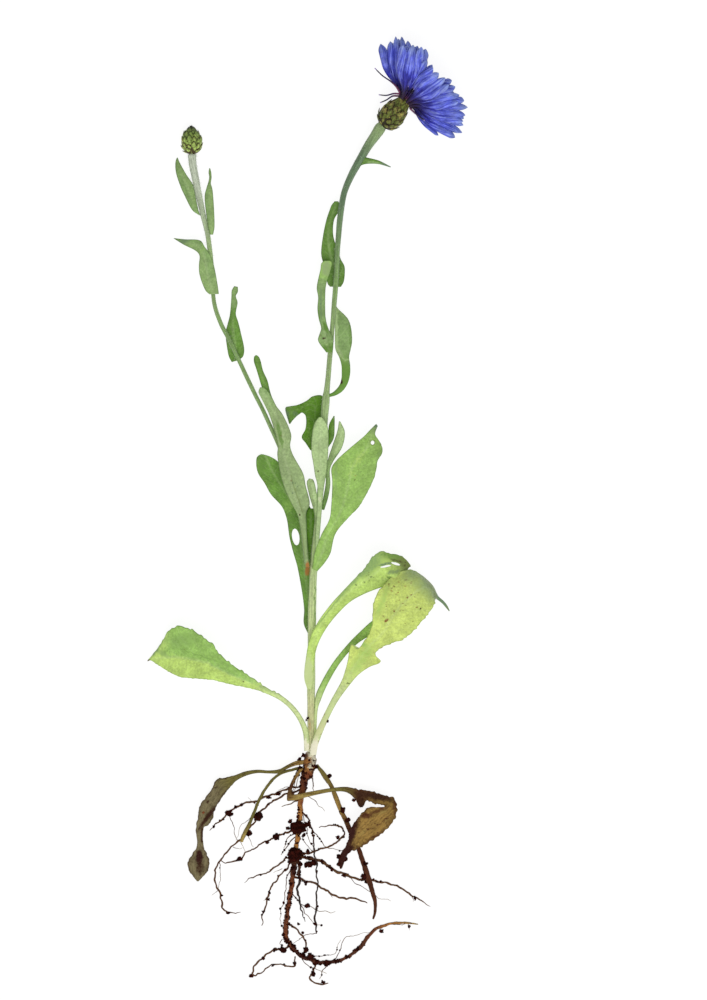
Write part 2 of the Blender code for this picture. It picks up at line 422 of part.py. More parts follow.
def blade(name, rows, camber, thickness, finish, spacing=LEAF_ROW_SPACING, columns=2):
    """A leaf or floret: a thin closed plate along its midrib. `camber` lifts its edges, as a share."""
    rows = smooth_rows(rows, spacing)
    points = rows[:, :3]
    tangents = directions(points)
    level = side_vectors(tangents)
    shares = np.linspace(1, -1, columns + 1)
    rings = []
    for p, t, side, (left, right) in zip(points, tangents, level, rows[:, 3:5]):
        normal = np.cross(t, side)
        half = normal * thickness / 2
        middle = []
        for share in shares:
            width = left if share > 0 else right
            middle.append(p + side * share * width + normal * camber * share**2 * width)
        rings.append([m + half for m in middle] + [m - half for m in reversed(middle)])
    return lofted(name, rings, finish)


def axis_frame(axis):
    """The axis as a unit vector, with the level direction to its left and the direction above it."""
    axis = unit(axis)
    left = unit(np.cross((0, 0, 1), axis))
    return axis, left, np.cross(axis, left)


def turned(name, base, axis, profile, finish, sides=12):
    """A solid turned about an axis, from (distance, radius) pairs."""
    along, left, above = axis_frame(axis)
    rings = [
        [
            np.asarray(base) + along * d + r * (math.cos(a) * left + math.sin(a) * above)
            for a in np.arange(sides) * math.tau / sides
        ]
        for d, r in profile
    ]
    return lofted(name, rings, finish)


def floret_rows(place, heading, rise, share):
    """A ray floret's stations: its tube leaves the head along the axis and bends to its own heading."""
    along, left, above = axis_frame(HEAD_AXIS)
    mouth = np.asarray(HEAD_BASE) + along * (HEAD_PROFILE[-1][0] + SEAM)
    turn = math.radians(place)
    start = mouth + FLORET_RING_RADIUS * (math.sin(turn) * left + math.cos(turn) * above)
    h, e = math.radians(heading), math.radians(rise)
    aim = np.array([math.cos(h) * math.cos(e), math.sin(h) * math.cos(e), math.sin(e)])
    length = FLORET_LENGTH * share
    rows = []
    point = start
    before = 0.0
    for part, half_width in FLORET_SHAPE:
        bent = min(1.0, part / FLORET_BEND_ENDS)
        climb = np.array([0, 0, FLORET_ARCH * (0.5 - part)])
        step = unit(along * (1 - bent) + aim * bent + climb)
        point = point + step * length * (part - before)
        before = part
        rows.append((*point, half_width, half_width))
    return rows


def make_florets():
    for number, floret in enumerate(RAY_FLORETS, 1):
        blade(f"ray_floret_{number:02d}", floret_rows(*floret), 0.12, FLORET_THICKNESS, "ray_floret", 2.4)


def make_heads():
    turned("flower_involucre", HEAD_BASE, HEAD_AXIS, HEAD_PROFILE, "bract")
    turned("bud_involucre", BUD_BASE, BUD_AXIS, BUD_PROFILE, "bract")
    along = unit(HEAD_AXIS)
    disc_base = np.asarray(HEAD_BASE) + along * (HEAD_PROFILE[-1][0] + SEAM)
    turned("disc_florets", disc_base, HEAD_AXIS, DISC_PROFILE, "disc_floret", 8)


def make_clod(name, centre, radii):
    """A lump of soil with a groove that clears the taproot which it straddles."""
    model = bmesh.new()
    bmesh.ops.create_icosphere(model, subdivisions=2, radius=1.0)
    (level_x, level_y), (upright_z, upright_y) = CLOD_WAVES
    for vert in model.verts:
        x, y, z = vert.co
        wave = math.sin(level_x * x + level_y * y) * math.cos(upright_z * z + upright_y * y)
        swell = 1 + CLOD_BUMP * wave
        vert.co = [(c + v * r * swell) * MM for c, v, r in zip(centre, vert.co, radii)]
    mesh = bpy.data.meshes.new(name)
    model.to_mesh(mesh)
    model.free()
    mesh.materials.append(finish_material("soil"))
    clod = bpy.data.objects.new(name, mesh)
    bpy.context.scene.collection.objects.link(clod)
    groove = clod.modifiers.new("taproot groove", "BOOLEAN")
    groove.operation = "DIFFERENCE"
    groove.solver = "EXACT"
    groove.object = bpy.data.objects["taproot_clearance"]


def make_roots():
    tube("root_crown", ROOT_CROWN, 1.6, 10, "root_bark")
    tube("taproot", TAPROOT, ROOT_ROW_SPACING, STALK_SIDES, "root_bark")
    clearance = tube("taproot_clearance", TAPROOT, ROOT_ROW_SPACING, STALK_SIDES, "root_bark", grow=SEAM)
    clearance.hide_render = True
    clearance.display_type = "WIRE"
    for name, rows in LATERAL_ROOTS.items():
        tube(name, rows, ROOT_ROW_SPACING, ROOTLET_SIDES, "root_bark")
    for name, (centre, radii) in SOIL_CLODS.items():
        make_clod(name, centre, radii)


def make_leaves():
    for name, (finish, camber, rows) in LEAVES.items():
        blade(name, rows, camber, LEAF_THICKNESS, finish)
    for name, (camber, rows) in WITHERED_LEAVES.items():
        blade(name, rows, camber, WITHERED_THICKNESS, "withered_leaf")


def stand_on_origin():
    """Moves everything so that the origin is under the middle of the plant's box, at its lowest point."""
    corners = np.array([
        vert.co for piece in bpy.data.objects if not piece.hide_render for vert in piece.data.vertices
    ])
    low, high = corners.min(axis=0), corners.max(axis=0)
    shift = (-(low[0] + high[0]) / 2, -(low[1] + high[1]) / 2, -low[2])
    for piece in bpy.data.objects:
        piece.location = shift


def main():
    for old in list(bpy.data.objects):
        bpy.data.objects.remove(old)
    tube("main_stem", MAIN_STEM, STALK_ROW_SPACING, STALK_SIDES, "stalk")
    tube("bud_stalk", BUD_STALK, STALK_ROW_SPACING, STALK_SIDES, "stalk")
    make_roots()
    make_leaves()
    make_heads()
    make_florets()
    stand_on_origin()


main()
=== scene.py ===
"""The looks of an uprooted cornflower plant (Centaurea cyanus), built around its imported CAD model.

Every outline below is in millimetres from the collar, the point where the root meets the stem: +X is to
the plant's right, +Y runs from the roots to the flowers and +Z is up from the table.
"""

import math
import random

import bmesh
import bpy
import numpy as np
from bpy.props import FloatProperty, FloatVectorProperty, IntProperty, PointerProperty
from mathutils import Matrix, Vector, noise


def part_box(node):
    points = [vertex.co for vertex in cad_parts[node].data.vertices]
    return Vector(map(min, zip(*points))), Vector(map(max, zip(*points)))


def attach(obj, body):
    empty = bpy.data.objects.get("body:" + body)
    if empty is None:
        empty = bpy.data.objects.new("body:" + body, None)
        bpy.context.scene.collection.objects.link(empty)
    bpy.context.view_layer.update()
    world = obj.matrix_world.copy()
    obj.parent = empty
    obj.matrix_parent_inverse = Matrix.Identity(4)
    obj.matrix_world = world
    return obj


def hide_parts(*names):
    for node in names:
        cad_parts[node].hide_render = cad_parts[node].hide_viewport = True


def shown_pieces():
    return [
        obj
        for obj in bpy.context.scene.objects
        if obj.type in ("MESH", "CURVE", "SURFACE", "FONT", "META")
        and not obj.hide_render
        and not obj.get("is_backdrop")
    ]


bl_info = {
    "name": "Cornflower Plant",
    "version": (1, 0, 0),
    "blender": (4, 5, 0),
    "location": "View3D > Sidebar > Cornflower",
    "description": "Builds the leaves, stalks, roots, bud and flower of a cornflower plant on its frame",
    "category": "Add Mesh",
}

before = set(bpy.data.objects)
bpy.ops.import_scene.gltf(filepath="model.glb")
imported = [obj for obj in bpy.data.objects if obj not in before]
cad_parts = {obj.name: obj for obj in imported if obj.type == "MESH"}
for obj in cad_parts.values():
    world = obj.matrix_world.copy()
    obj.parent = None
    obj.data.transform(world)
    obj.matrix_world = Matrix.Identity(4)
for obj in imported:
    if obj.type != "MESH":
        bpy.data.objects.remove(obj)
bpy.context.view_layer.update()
MM = 0.001
BODY = "root"
TABLE_GAP = 0.00002  # the lowest that a piece reaches, in metres

# ---- Outlines and routes ----

HEAD_BASE = (21.1, 187.15, 4.45)
HEAD_AXIS = (0.66, 0.75, 0.07)
HEAD_PROFILE = [
    (0, 1.3), (0.7, 2.9), (2, 3.85), (4, 4.2), (6, 3.95), (8, 3.2), (9.6, 2.5), (10.6, 2.2),
]
BUD_BASE = (-35.35, 178.95, 3.75)
BUD_AXIS = (-0.03, 1.0, -0.01)
BUD_PROFILE = [
    (0, 1.1), (0.6, 2.4), (1.8, 3.2), (3.6, 3.45), (5.4, 3.05), (7, 2.1), (8.1, 1), (8.8, 0.25),
]
BUD_CAD_SIDES = 12
BUD_CROWN = 6.4  # above its base: the bud's scales are black from here up
SCALE_SINKS = 0.42  # into its cup
SCALE_LEAN = 0.02
SCALE_FRINGE = 0.16
CUP_INSET = 0.55  # from the cup's outline, which the scales fill

# Stalks: rows of (x, y, z, radius)
MAIN_STEM = [
    (0, 1.4, 2.8, 1), (0, 20, 3, 1.12), (0.7, 55, 3.6, 1.08), (2.1, 72, 3.8, 0.85), (2.8, 80, 3.95, 0.88),
    (3.8, 98, 4.3, 0.97), (4.4, 106.5, 4.45, 1.12), (4.7, 109, 4.5, 0.86), (7.5, 143, 4.6, 0.72),
    (8, 153, 4.5, 0.76), (9.3, 165, 4.4, 0.86), (10.7, 170, 4.4, 0.93), (16.6, 180.9, 4.4, 1.22),
    (19, 184.5, 4.4, 1.5), (20.5, 186.7, 4.42, 1.66), (21.2, 187.7, 4.45, 1.35),
]
BUD_STALK = [
    (-1.25, 57.2, 3.6, 0.6), (-1.9, 62, 3.5, 0.62), (-3, 72, 3.1, 0.62), (-5.3, 82, 2.9, 0.62),
    (-14.2, 102.8, 2.6, 0.6), (-16.9, 108.2, 2.6, 0.6), (-24.4, 124, 2.7, 0.6), (-27, 129.2, 2.8, 0.6),
    (-28.7, 134.4, 2.8, 0.6), (-29.8, 148, 2.9, 0.66), (-30.8, 155.5, 3.1, 0.72), (-32.4, 162.5, 3.3, 0.82),
    (-35.1, 176, 3.7, 1.12), (-35.35, 178.9, 3.75, 1.22),
]
DEAD_PETIOLES = {
    "dead_petiole_left": [
        (-3.1, -3.3, 2, 0.45), (-9.6, -5.4, 1.3, 0.42), (-14, -10.2, 1.2, 0.42), (-18.4, -20, 1.2, 0.52),
        (-19.9, -23.2, 1.15, 0.62), (-20.7, -25.3, 1.1, 0.55),
    ],
    "dead_petiole_right": [
        (1.7, -2.5, 2.4, 0.45), (4.4, -6.2, 2.2, 0.72), (6, -8.8, 2, 0.62), (8.6, -15.4, 1.7, 0.68),
        (11.6, -21.8, 1.6, 0.7), (13.4, -25.6, 1.5, 0.62), (16.6, -35, 1.4, 0.8), (19, -43.4, 0.9, 0.55),
        (19, -46.6, 0.65, 0.42), (18.4, -48.4, 0.5, 0.25),
    ],
}

# Roots: rows of (x, y, z, radius)
ROOT_CROWN = [
    (-0.1, 1.3, 2.6, 1.25), (-0.3, -0.2, 2.5, 1.75), (-0.4, -1.8, 2.5, 1.95), (-0.8, -3.6, 2.4, 1.75),
    (-1.1, -4.8, 2.4, 1.6),
]
TAPROOT = [
    (-1, -4.3, 2.4, 1.65), (-2.7, -10.2, 1.9, 1.15), (-3.5, -19, 1.5, 0.9), (-4.1, -24.5, 1.45, 0.82),
    (-5.2, -33.4, 1.4, 0.98), (-5.8, -38, 1.3, 0.84), (-7.1, -46.6, 1.1, 0.78), (-7.6, -50.6, 1.05, 0.88),
    (-7.4, -53.6, 1, 0.84), (-6.4, -56, 0.95, 0.72), (-4, -58.5, 0.9, 0.7), (-0.5, -60.5, 0.85, 0.74),
    (3.5, -61.3, 0.85, 0.66), (7.5, -61, 0.8, 0.58), (11, -59.6, 0.7, 0.54), (14.3, -57, 0.6, 0.5),
    (19.7, -51.1, 0.45, 0.38), (28, -49.5, 0.35, 0.26), (31.8, -50, 0.3, 0.14),
]
LATERAL_ROOTS = {
    "left_1": [
        (-2.6, -9, 1.9, 0.34), (-4.6, -9.1, 1.3, 0.32), (-7.4, -9.8, 0.8, 0.32), (-15, -12.7, 0.4, 0.3),
        (-22.2, -15, 0.4, 0.28), (-24.5, -16.6, 0.4, 0.25), (-26.2, -18.6, 0.35, 0.26),
        (-28.3, -20, 0.3, 0.2), (-30.2, -22.1, 0.3, 0.08),
    ],
    "left_2": [
        (-3.2, -9.8, 1.5, 0.32), (-4.9, -10.6, 0.9, 0.3), (-7.5, -11.4, 0.5, 0.3),
        (-13.5, -14.9, 0.35, 0.28), (-20.4, -24.4, 0.3, 0.26), (-23.6, -26.8, 0.3, 0.25),
        (-28.3, -33.2, 0.3, 0.25), (-28.7, -36.6, 0.3, 0.26), (-27.6, -39.8, 0.3, 0.27),
        (-26.6, -43.2, 0.3, 0.27), (-25.9, -45.9, 0.3, 0.24), (-24.2, -46.6, 0.3, 0.2),
        (-21, -46.4, 0.3, 0.07),
    ],
    "left_3": [
        (-4.2, -21.6, 1.8, 0.3), (-10.2, -23.8, 0.6, 0.28), (-18.6, -28.3, 0.35, 0.2),
        (-20.7, -30.1, 0.3, 0.24), (-25.3, -31.9, 0.3, 0.18), (-27, -30.9, 0.3, 0.12),
    ],
    "left_4": [
        (-5, -29.4, 2, 0.28), (-7.45, -30.5, 1.4, 0.26), (-10.4, -32.7, 0.5, 0.26),
        (-12.6, -34.4, 0.4, 0.22), (-18, -36.2, 0.3, 0.16), (-19.9, -37.7, 0.3, 0.06),
    ],
    "left_5": [
        (-5.3, -31.2, 1.6, 0.3), (-6.6, -32.3, 1.2, 0.28), (-8.7, -34.9, 0.7, 0.24),
        (-12.5, -40, 0.4, 0.26), (-13.1, -43, 0.35, 0.26), (-14.1, -46, 0.3, 0.22),
        (-14.7, -50.4, 0.3, 0.12),
    ],
    "left_6": [
        (-6.4, -55.9, 0.9, 0.34), (-7.6, -57, 0.8, 0.3), (-11.4, -57.7, 0.5, 0.28),
        (-14.4, -59.9, 0.4, 0.27), (-17.5, -63.8, 0.3, 0.26), (-17.7, -64.9, 0.3, 0.26),
        (-16.9, -65.5, 0.3, 0.24), (-13.4, -63.2, 0.3, 0.2), (-10.2, -61.7, 0.3, 0.2),
        (-7.4, -62.4, 0.3, 0.22), (-5.2, -62.3, 0.3, 0.26), (-4.8, -59.6, 0.35, 0.22),
    ],
    "right_1": [
        (-4, -29.3, 1.5, 0.34), (1.8, -28, 1.1, 0.28), (8.4, -25, 0.7, 0.27), (9.8, -22.9, 0.5, 0.26),
        (8.8, -21.1, 0.4, 0.25), (6, -20.5, 0.35, 0.21), (2.3, -21.2, 0.3, 0.1),
    ],
    "right_2": [
        (-4.2, -30, 1.2, 0.45), (0.6, -30.5, 0.5, 0.42), (3.2, -31.3, 0.45, 0.44), (6.2, -33.4, 0.4, 0.42),
        (13, -36.2, 0.4, 0.36), (22, -37.6, 0.35, 0.28), (26, -38.9, 0.35, 0.28), (31.6, -42.4, 0.3, 0.22),
        (35.5, -44.7, 0.3, 0.07),
    ],
    "right_3": [
        (-5.4, -35.8, 1.3, 0.34), (-1.2, -37.1, 0.6, 0.34), (2, -38.4, 0.4, 0.32), (8, -41.9, 0.35, 0.31),
        (12, -42.3, 0.35, 0.29), (15.2, -42.9, 0.3, 0.24), (16.7, -43.7, 0.3, 0.14),
    ],
    "right_4": [
        (-4, -30.6, 1.6, 0.4), (-3.6, -32.6, 1.9, 0.42), (-3.5, -35.4, 2, 0.4), (-3.9, -39.6, 1.6, 0.34),
        (-3.4, -43.6, 1.1, 0.28), (-1.8, -49.3, 0.3, 0.08),
    ],
    "right_5": [
        (-2.9, -16, 1.7, 0.24), (-0.2, -20, 2, 0.24), (1, -28.4, 2, 0.22), (1.6, -33, 1.6, 0.22),
        (1.8, -39.6, 1.3, 0.22), (1.2, -50, 0.4, 0.3), (1.6, -52.8, 0.3, 0.14),
    ],
    "right_6": [
        (-7.2, -49.2, 1.3, 0.3), (-2.4, -53.6, 0.5, 0.26), (-1.8, -56, 0.5, 0.26), (-2, -58.6, 0.6, 0.26),
    ],
    "bottom_loop": [
        (1.3, -61.2, 0.7, 0.28), (1.2, -62.4, 0.6, 0.26), (-0.3, -66.2, 0.35, 0.25),
        (1.3, -67.6, 0.3, 0.25), (3, -67.9, 0.3, 0.26), (5.1, -67.5, 0.3, 0.14),
    ],
}
# The finest roots: how thick each is where it starts, and its (x, y) route on the table
FINE_ROOTS = [
    (0.16, [(-1.9, -19.6), (1.2, -22.8), (4, -26.5), (7, -27.75), (11.5, -28)]),
    (0.16, [(-5.8, -40.5), (-3.25, -43.75), (-1.25, -44.5), (2, -45.75), (5, -46.5), (7.2, -46.2)]),
    (0.14, [(0.2, -60), (1.5, -59.3), (6.5, -59), (8.75, -54.6)]),
    (0.14, [(5.5, -61), (7.5, -60), (10, -54.25), (13, -53.25), (17.6, -52.4)]),
    (0.2, [(5.4, -61.6), (4.5, -62.6), (3.2, -64.2), (2.5, -66.3)]),
    (0.26, [(-3.5, -13), (-5.6, -13.8), (-8.8, -15)]),
    (0.22, [(-4.2, -23.6), (-5.6, -25), (-7.6, -27.2), (-9, -29.4)]),
    (0.18, [(-4.6, -21.8), (-6.8, -24.6), (-8.2, -27.4)]),
    (0.13, [(-1.6, -11.6), (0.6, -13), (2.4, -14.6), (4.1, -16.4)]),
    (0.26, [(-0.6, -5.6), (0.25, -6.8), (0.75, -10.2)]),
    (0.16, [(-5.9, -33), (-7.2, -36.2), (-7.7, -40.5), (-8.4, -44.2), (-9.3, -47.4), (-8.8, -50.5)]),
    (0.12, [(-24.4, -17), (-23.2, -20.6), (-22.4, -24.2), (-20.2, -26.8), (-19.6, -28.6)]),
    (0.11, [(-15.8, -17), (-18.6, -18.8), (-21, -20.9), (-22.4, -25)]),
    (0.12, [(-18.7, -23.4), (-18.2, -25.2), (-17.2, -27)]),
    (0.12, [(9.6, -35.2), (13.6, -37.8), (17.6, -40.4), (20.6, -42.2), (23.8, -43.1)]),
    (0.11, [(-23.2, -27), (-22.2, -27.4), (-20.4, -27.2)]),
    (0.12, [(-27.4, -31.2), (-26.9, -33.6), (-27.3, -37.2), (-27.7, -39.6)]),
    (0.1, [(-27.6, -39.8), (-29.6, -41.4)]),
    (0.14, [(-3.3, -43.8), (-1.6, -46.8), (0.6, -49.4), (3.2, -50.4)]),
    (0.12, [(1.6, -52.6), (-1.4, -53.2), (-4.2, -54.8), (-6.2, -56.4)]),
    (0.1, [(29.6, -41), (30.4, -42.6), (30.3, -43.4)]), (0.12, [(24.4, -50), (28.8, -50.2), (29.4, -51.8)]),
    (0.12, [(-2.4, -17.4), (-1.2, -22.6), (0.6, -27.8), (1.6, -30.4)]),
    (0.12, [(-2.6, -24.6), (-0.8, -27), (1.4, -28.6)]),
    (0.14, [(-5.2, -11.4), (-6.6, -9.2), (-9.8, -10.1)]),
    (0.11, [(-15.6, -14.6), (-17.2, -14), (-18.8, -12.2)]),
    (0.16, [(-3.2, -2.2), (-4.6, -5.4), (-5, -8.6), (-6, -10.6)]),
    (0.14, [(-2.6, -3), (-4, -6.4), (-4.6, -9.4), (-5.6, -11)]),
    (0.14, [(-4.4, -58.4), (-1.2, -62), (2, -63.6), (4.6, -64.6)]),
    (0.12, [(-8.6, -54.4), (-9.4, -55.8), (-8.2, -56.4)]), (0.1, [(-8.6, -33.4), (-11.2, -34.6)]),
    (0.1, [(-13, -42.2), (-14.2, -43)]), (0.1, [(5.6, -40.8), (6.4, -42.2)]),
]

# Soil: lumps that clasp the taproot, as (node, centre, radii)
SOIL_CLODS = {
    "soil_clod_upper": ((-3.9, -21.0, 2.1), (2.3, 1.9, 1.6)),
    "soil_clod_lower": ((-4.9, -29.2, 2.1), (2.1, 2.1, 1.6)),
}
# Lumps that hang on the roots: (x, y, z, diameter)
SOIL_LUMPS = [
    (-0.9, 11.5, 3.7, 0.8), (-1.4, 10.9, 3.3, 0.6), (4.9, 10.7, 5.8, 0.8), (2.4, 5.6, 4.9, 0.5),
    (-24.4, -17, 0.9, 2), (-15.6, -17.7, 1, 2.5), (-18.6, -22.7, 0.8, 1.8), (-10.6, -24, 0.9, 2),
    (-21.4, -30.5, 0.7, 1.6), (-8.5, -57.6, 0.9, 1.9), (-0.6, -32.1, 0.9, 2.3), (0.6, -31.7, 0.8, 1.8),
    (5.5, -5.6, 2.4, 1.4), (9.4, -16, 2.3, 1.7), (10.7, -19, 2.2, 1.6), (8, -24, 0.8, 1.1),
    (-1.3, -44.5, 0.7, 1.5), (0.7, -64.7, 0.6, 1.4), (3.5, -67.3, 0.5, 1.2), (20.8, -52, 0.6, 1.3),
    (-6.2, -19.2, 1.9, 1.2), (-6.8, -21.3, 1.7, 1.2), (-1.2, -20.2, 2, 1.4), (-2.2, -23.4, 1.8, 1.2),
    (-3.2, -32, 1.8, 1.4), (-6.4, -31.4, 1.5, 1.1), (-3.4, -34.4, 2, 1), (-9.8, -11, 0.9, 1.2),
    (-12.6, -12.2, 0.8, 1.3), (-20.6, -14.3, 0.7, 1), (-22.4, -15, 0.7, 0.9), (-13.2, -25.6, 0.7, 1.1),
    (-12.8, -42.6, 0.6, 0.9), (-14.2, -46.2, 0.6, 0.9), (-1.6, -37.6, 0.8, 1.3), (3.2, -31.2, 0.8, 1.1),
    (6.2, -33.6, 0.8, 1), (9.8, -35.4, 0.7, 1.2), (16.6, -37, 0.7, 1.4), (30.9, -42.2, 0.6, 1.1),
    (-0.4, -59.6, 1.1, 1.9), (1.6, -61.2, 1, 2), (4.6, -61.4, 1, 1.8), (-2.4, -59.2, 1, 1.6),
    (-5.4, -56.4, 1.1, 1.4), (-1.4, -57.6, 0.9, 1.4), (7.4, -61, 0.9, 1.3), (10.6, -59.8, 0.8, 1),
    (14.2, -57.2, 0.8, 1.3), (-8.2, -53, 1.2, 1.3), (-6.8, -48, 1.1, 1.1), (-6.3, -43.6, 1.2, 1.1),
    (-3.2, -3.4, 3.2, 1.6), (-2.6, -8.8, 2.4, 1.2), (-2.2, 0.4, 3, 1.3), (-3.4, -0.9, 2.8, 1.2),
    (1.6, -3.1, 2.9, 1.2), (-10.9, -57.6, 0.6, 1.1), (-14.3, -60, 0.6, 1), (-17.9, -65.3, 0.5, 1.2),
    (-11.4, -62.2, 0.5, 0.9), (-4.9, -61.6, 0.6, 1), (-2.6, -52.4, 0.7, 0.9), (1.2, -49.9, 0.6, 1.1),
    (16, -31.9, 1.9, 1.5), (15.8, -35.8, 1.7, 1.7), (10.4, -30.4, 2.8, 1.3), (8.4, -29.6, 3, 1.4),
    (8.2, -31.8, 2.8, 1.2), (12.7, -12.9, 3.8, 1), (29.2, -50.6, 0.5, 0.9), (-26.6, -41.4, 0.5, 0.7),
    (-24.6, -46.6, 0.4, 0.8), (-29, -21, 0.5, 0.8), (-1, -28.3, 1.4, 1.3), (-3.8, -49.9, 1, 0.8),
]
SOIL_LUMP_PARTS = ((1.0, 0.0), (0.62, 0.42), (0.5, 0.5), (0.42, 0.55))  # share of the width, reach
# Where soil clings in crumbs: (x, y, reach)
SOIL_SPOTS = [
    (-3.6, -21, 4.2), (-4.8, -29.5, 4), (1, -60.5, 5), (6, -61, 4), (-6.5, -52, 4), (-5.6, -36, 3.5),
    (-2.5, -5, 3.6), (-24, -16.5, 2.6), (-15.6, -17.5, 2.2), (10.5, -22, 4.5), (9, -31, 3),
    (16.5, -35.5, 3.5), (-8, -57, 2.8), (12, -59, 3.4), (-6.6, -44, 3.2), (0, -31, 2.8),
]

# The flower: (place round the head's axis, heading, rise, share of the length, lobes, half the limb's
# width). Place 0 is the top of the head, 90 its left side, 180 the side on the table. Angles in degrees.
RAY_FLORETS = [
    (22, 80, 16, 0.96, 3, 4.1), (50, 60, 16, 0.8, 4, 4), (77, 72, 7, 0.93, 3, 4.3),
    (105, 92, 0, 1.02, 4, 3.7), (132, 102, -6, 1.02, 3, 4.2), (161, 76, -11, 0.86, 4, 4.6),
    (199, 12, -11, 0.84, 5, 4.8), (228, -37, -6, 0.76, 4, 2.7), (255, -25, -1, 0.98, 4, 4.3),
    (283, -8, 5, 1, 4, 4.4), (310, 13, 12, 0.9, 4, 4.6), (338, 35, 20, 0.82, 4, 4.6),
]
FLORET_LENGTH = 17.5
FLORET_RING_RADIUS = 1.55
FLORET_SINKS = 1.2  # into the cup's mouth
FLORET_BEND_ENDS = 0.22
FLORET_ARCH = 0.12
NECK_HALF_ANGLE = 0.93 * math.pi  # a floret's neck is nearly a closed tube
NECK_HALF_WIDTH = 0.95
LIMB_HALF_ANGLE = 0.5
RESTING_HEIGHT = 0.25  # of a floret that lies on the table
FLORET_SHARES = (0.0, 0.16, 0.34, 0.52, 0.70, 0.85, 0.95, 1.0)
STRAY_STYLES = [  # thin dark threads that stand out of the head: rows of (x, y, z)
    [(26.3, 197.2, 6.0), (25.2, 199.0, 6.2), (23.6, 200.5, 6.1), (21.2, 202.2, 5.6), (18.9, 204.5, 5.0)],
    [(26.4, 196.8, 5.6), (24.6, 196.9, 5.5), (22.4, 196.4, 5.2), (20.1, 196.6, 4.8)],
    [(26.2, 196.2, 5.0), (24.2, 196.2, 4.8), (22.4, 195.1, 4.4), (20.5, 194.3, 4.0)],
    [(29.3, 192.6, 5.0), (30.8, 191.2, 4.8), (32.2, 190.1, 4.4), (33.8, 189.0, 4.0)],
]

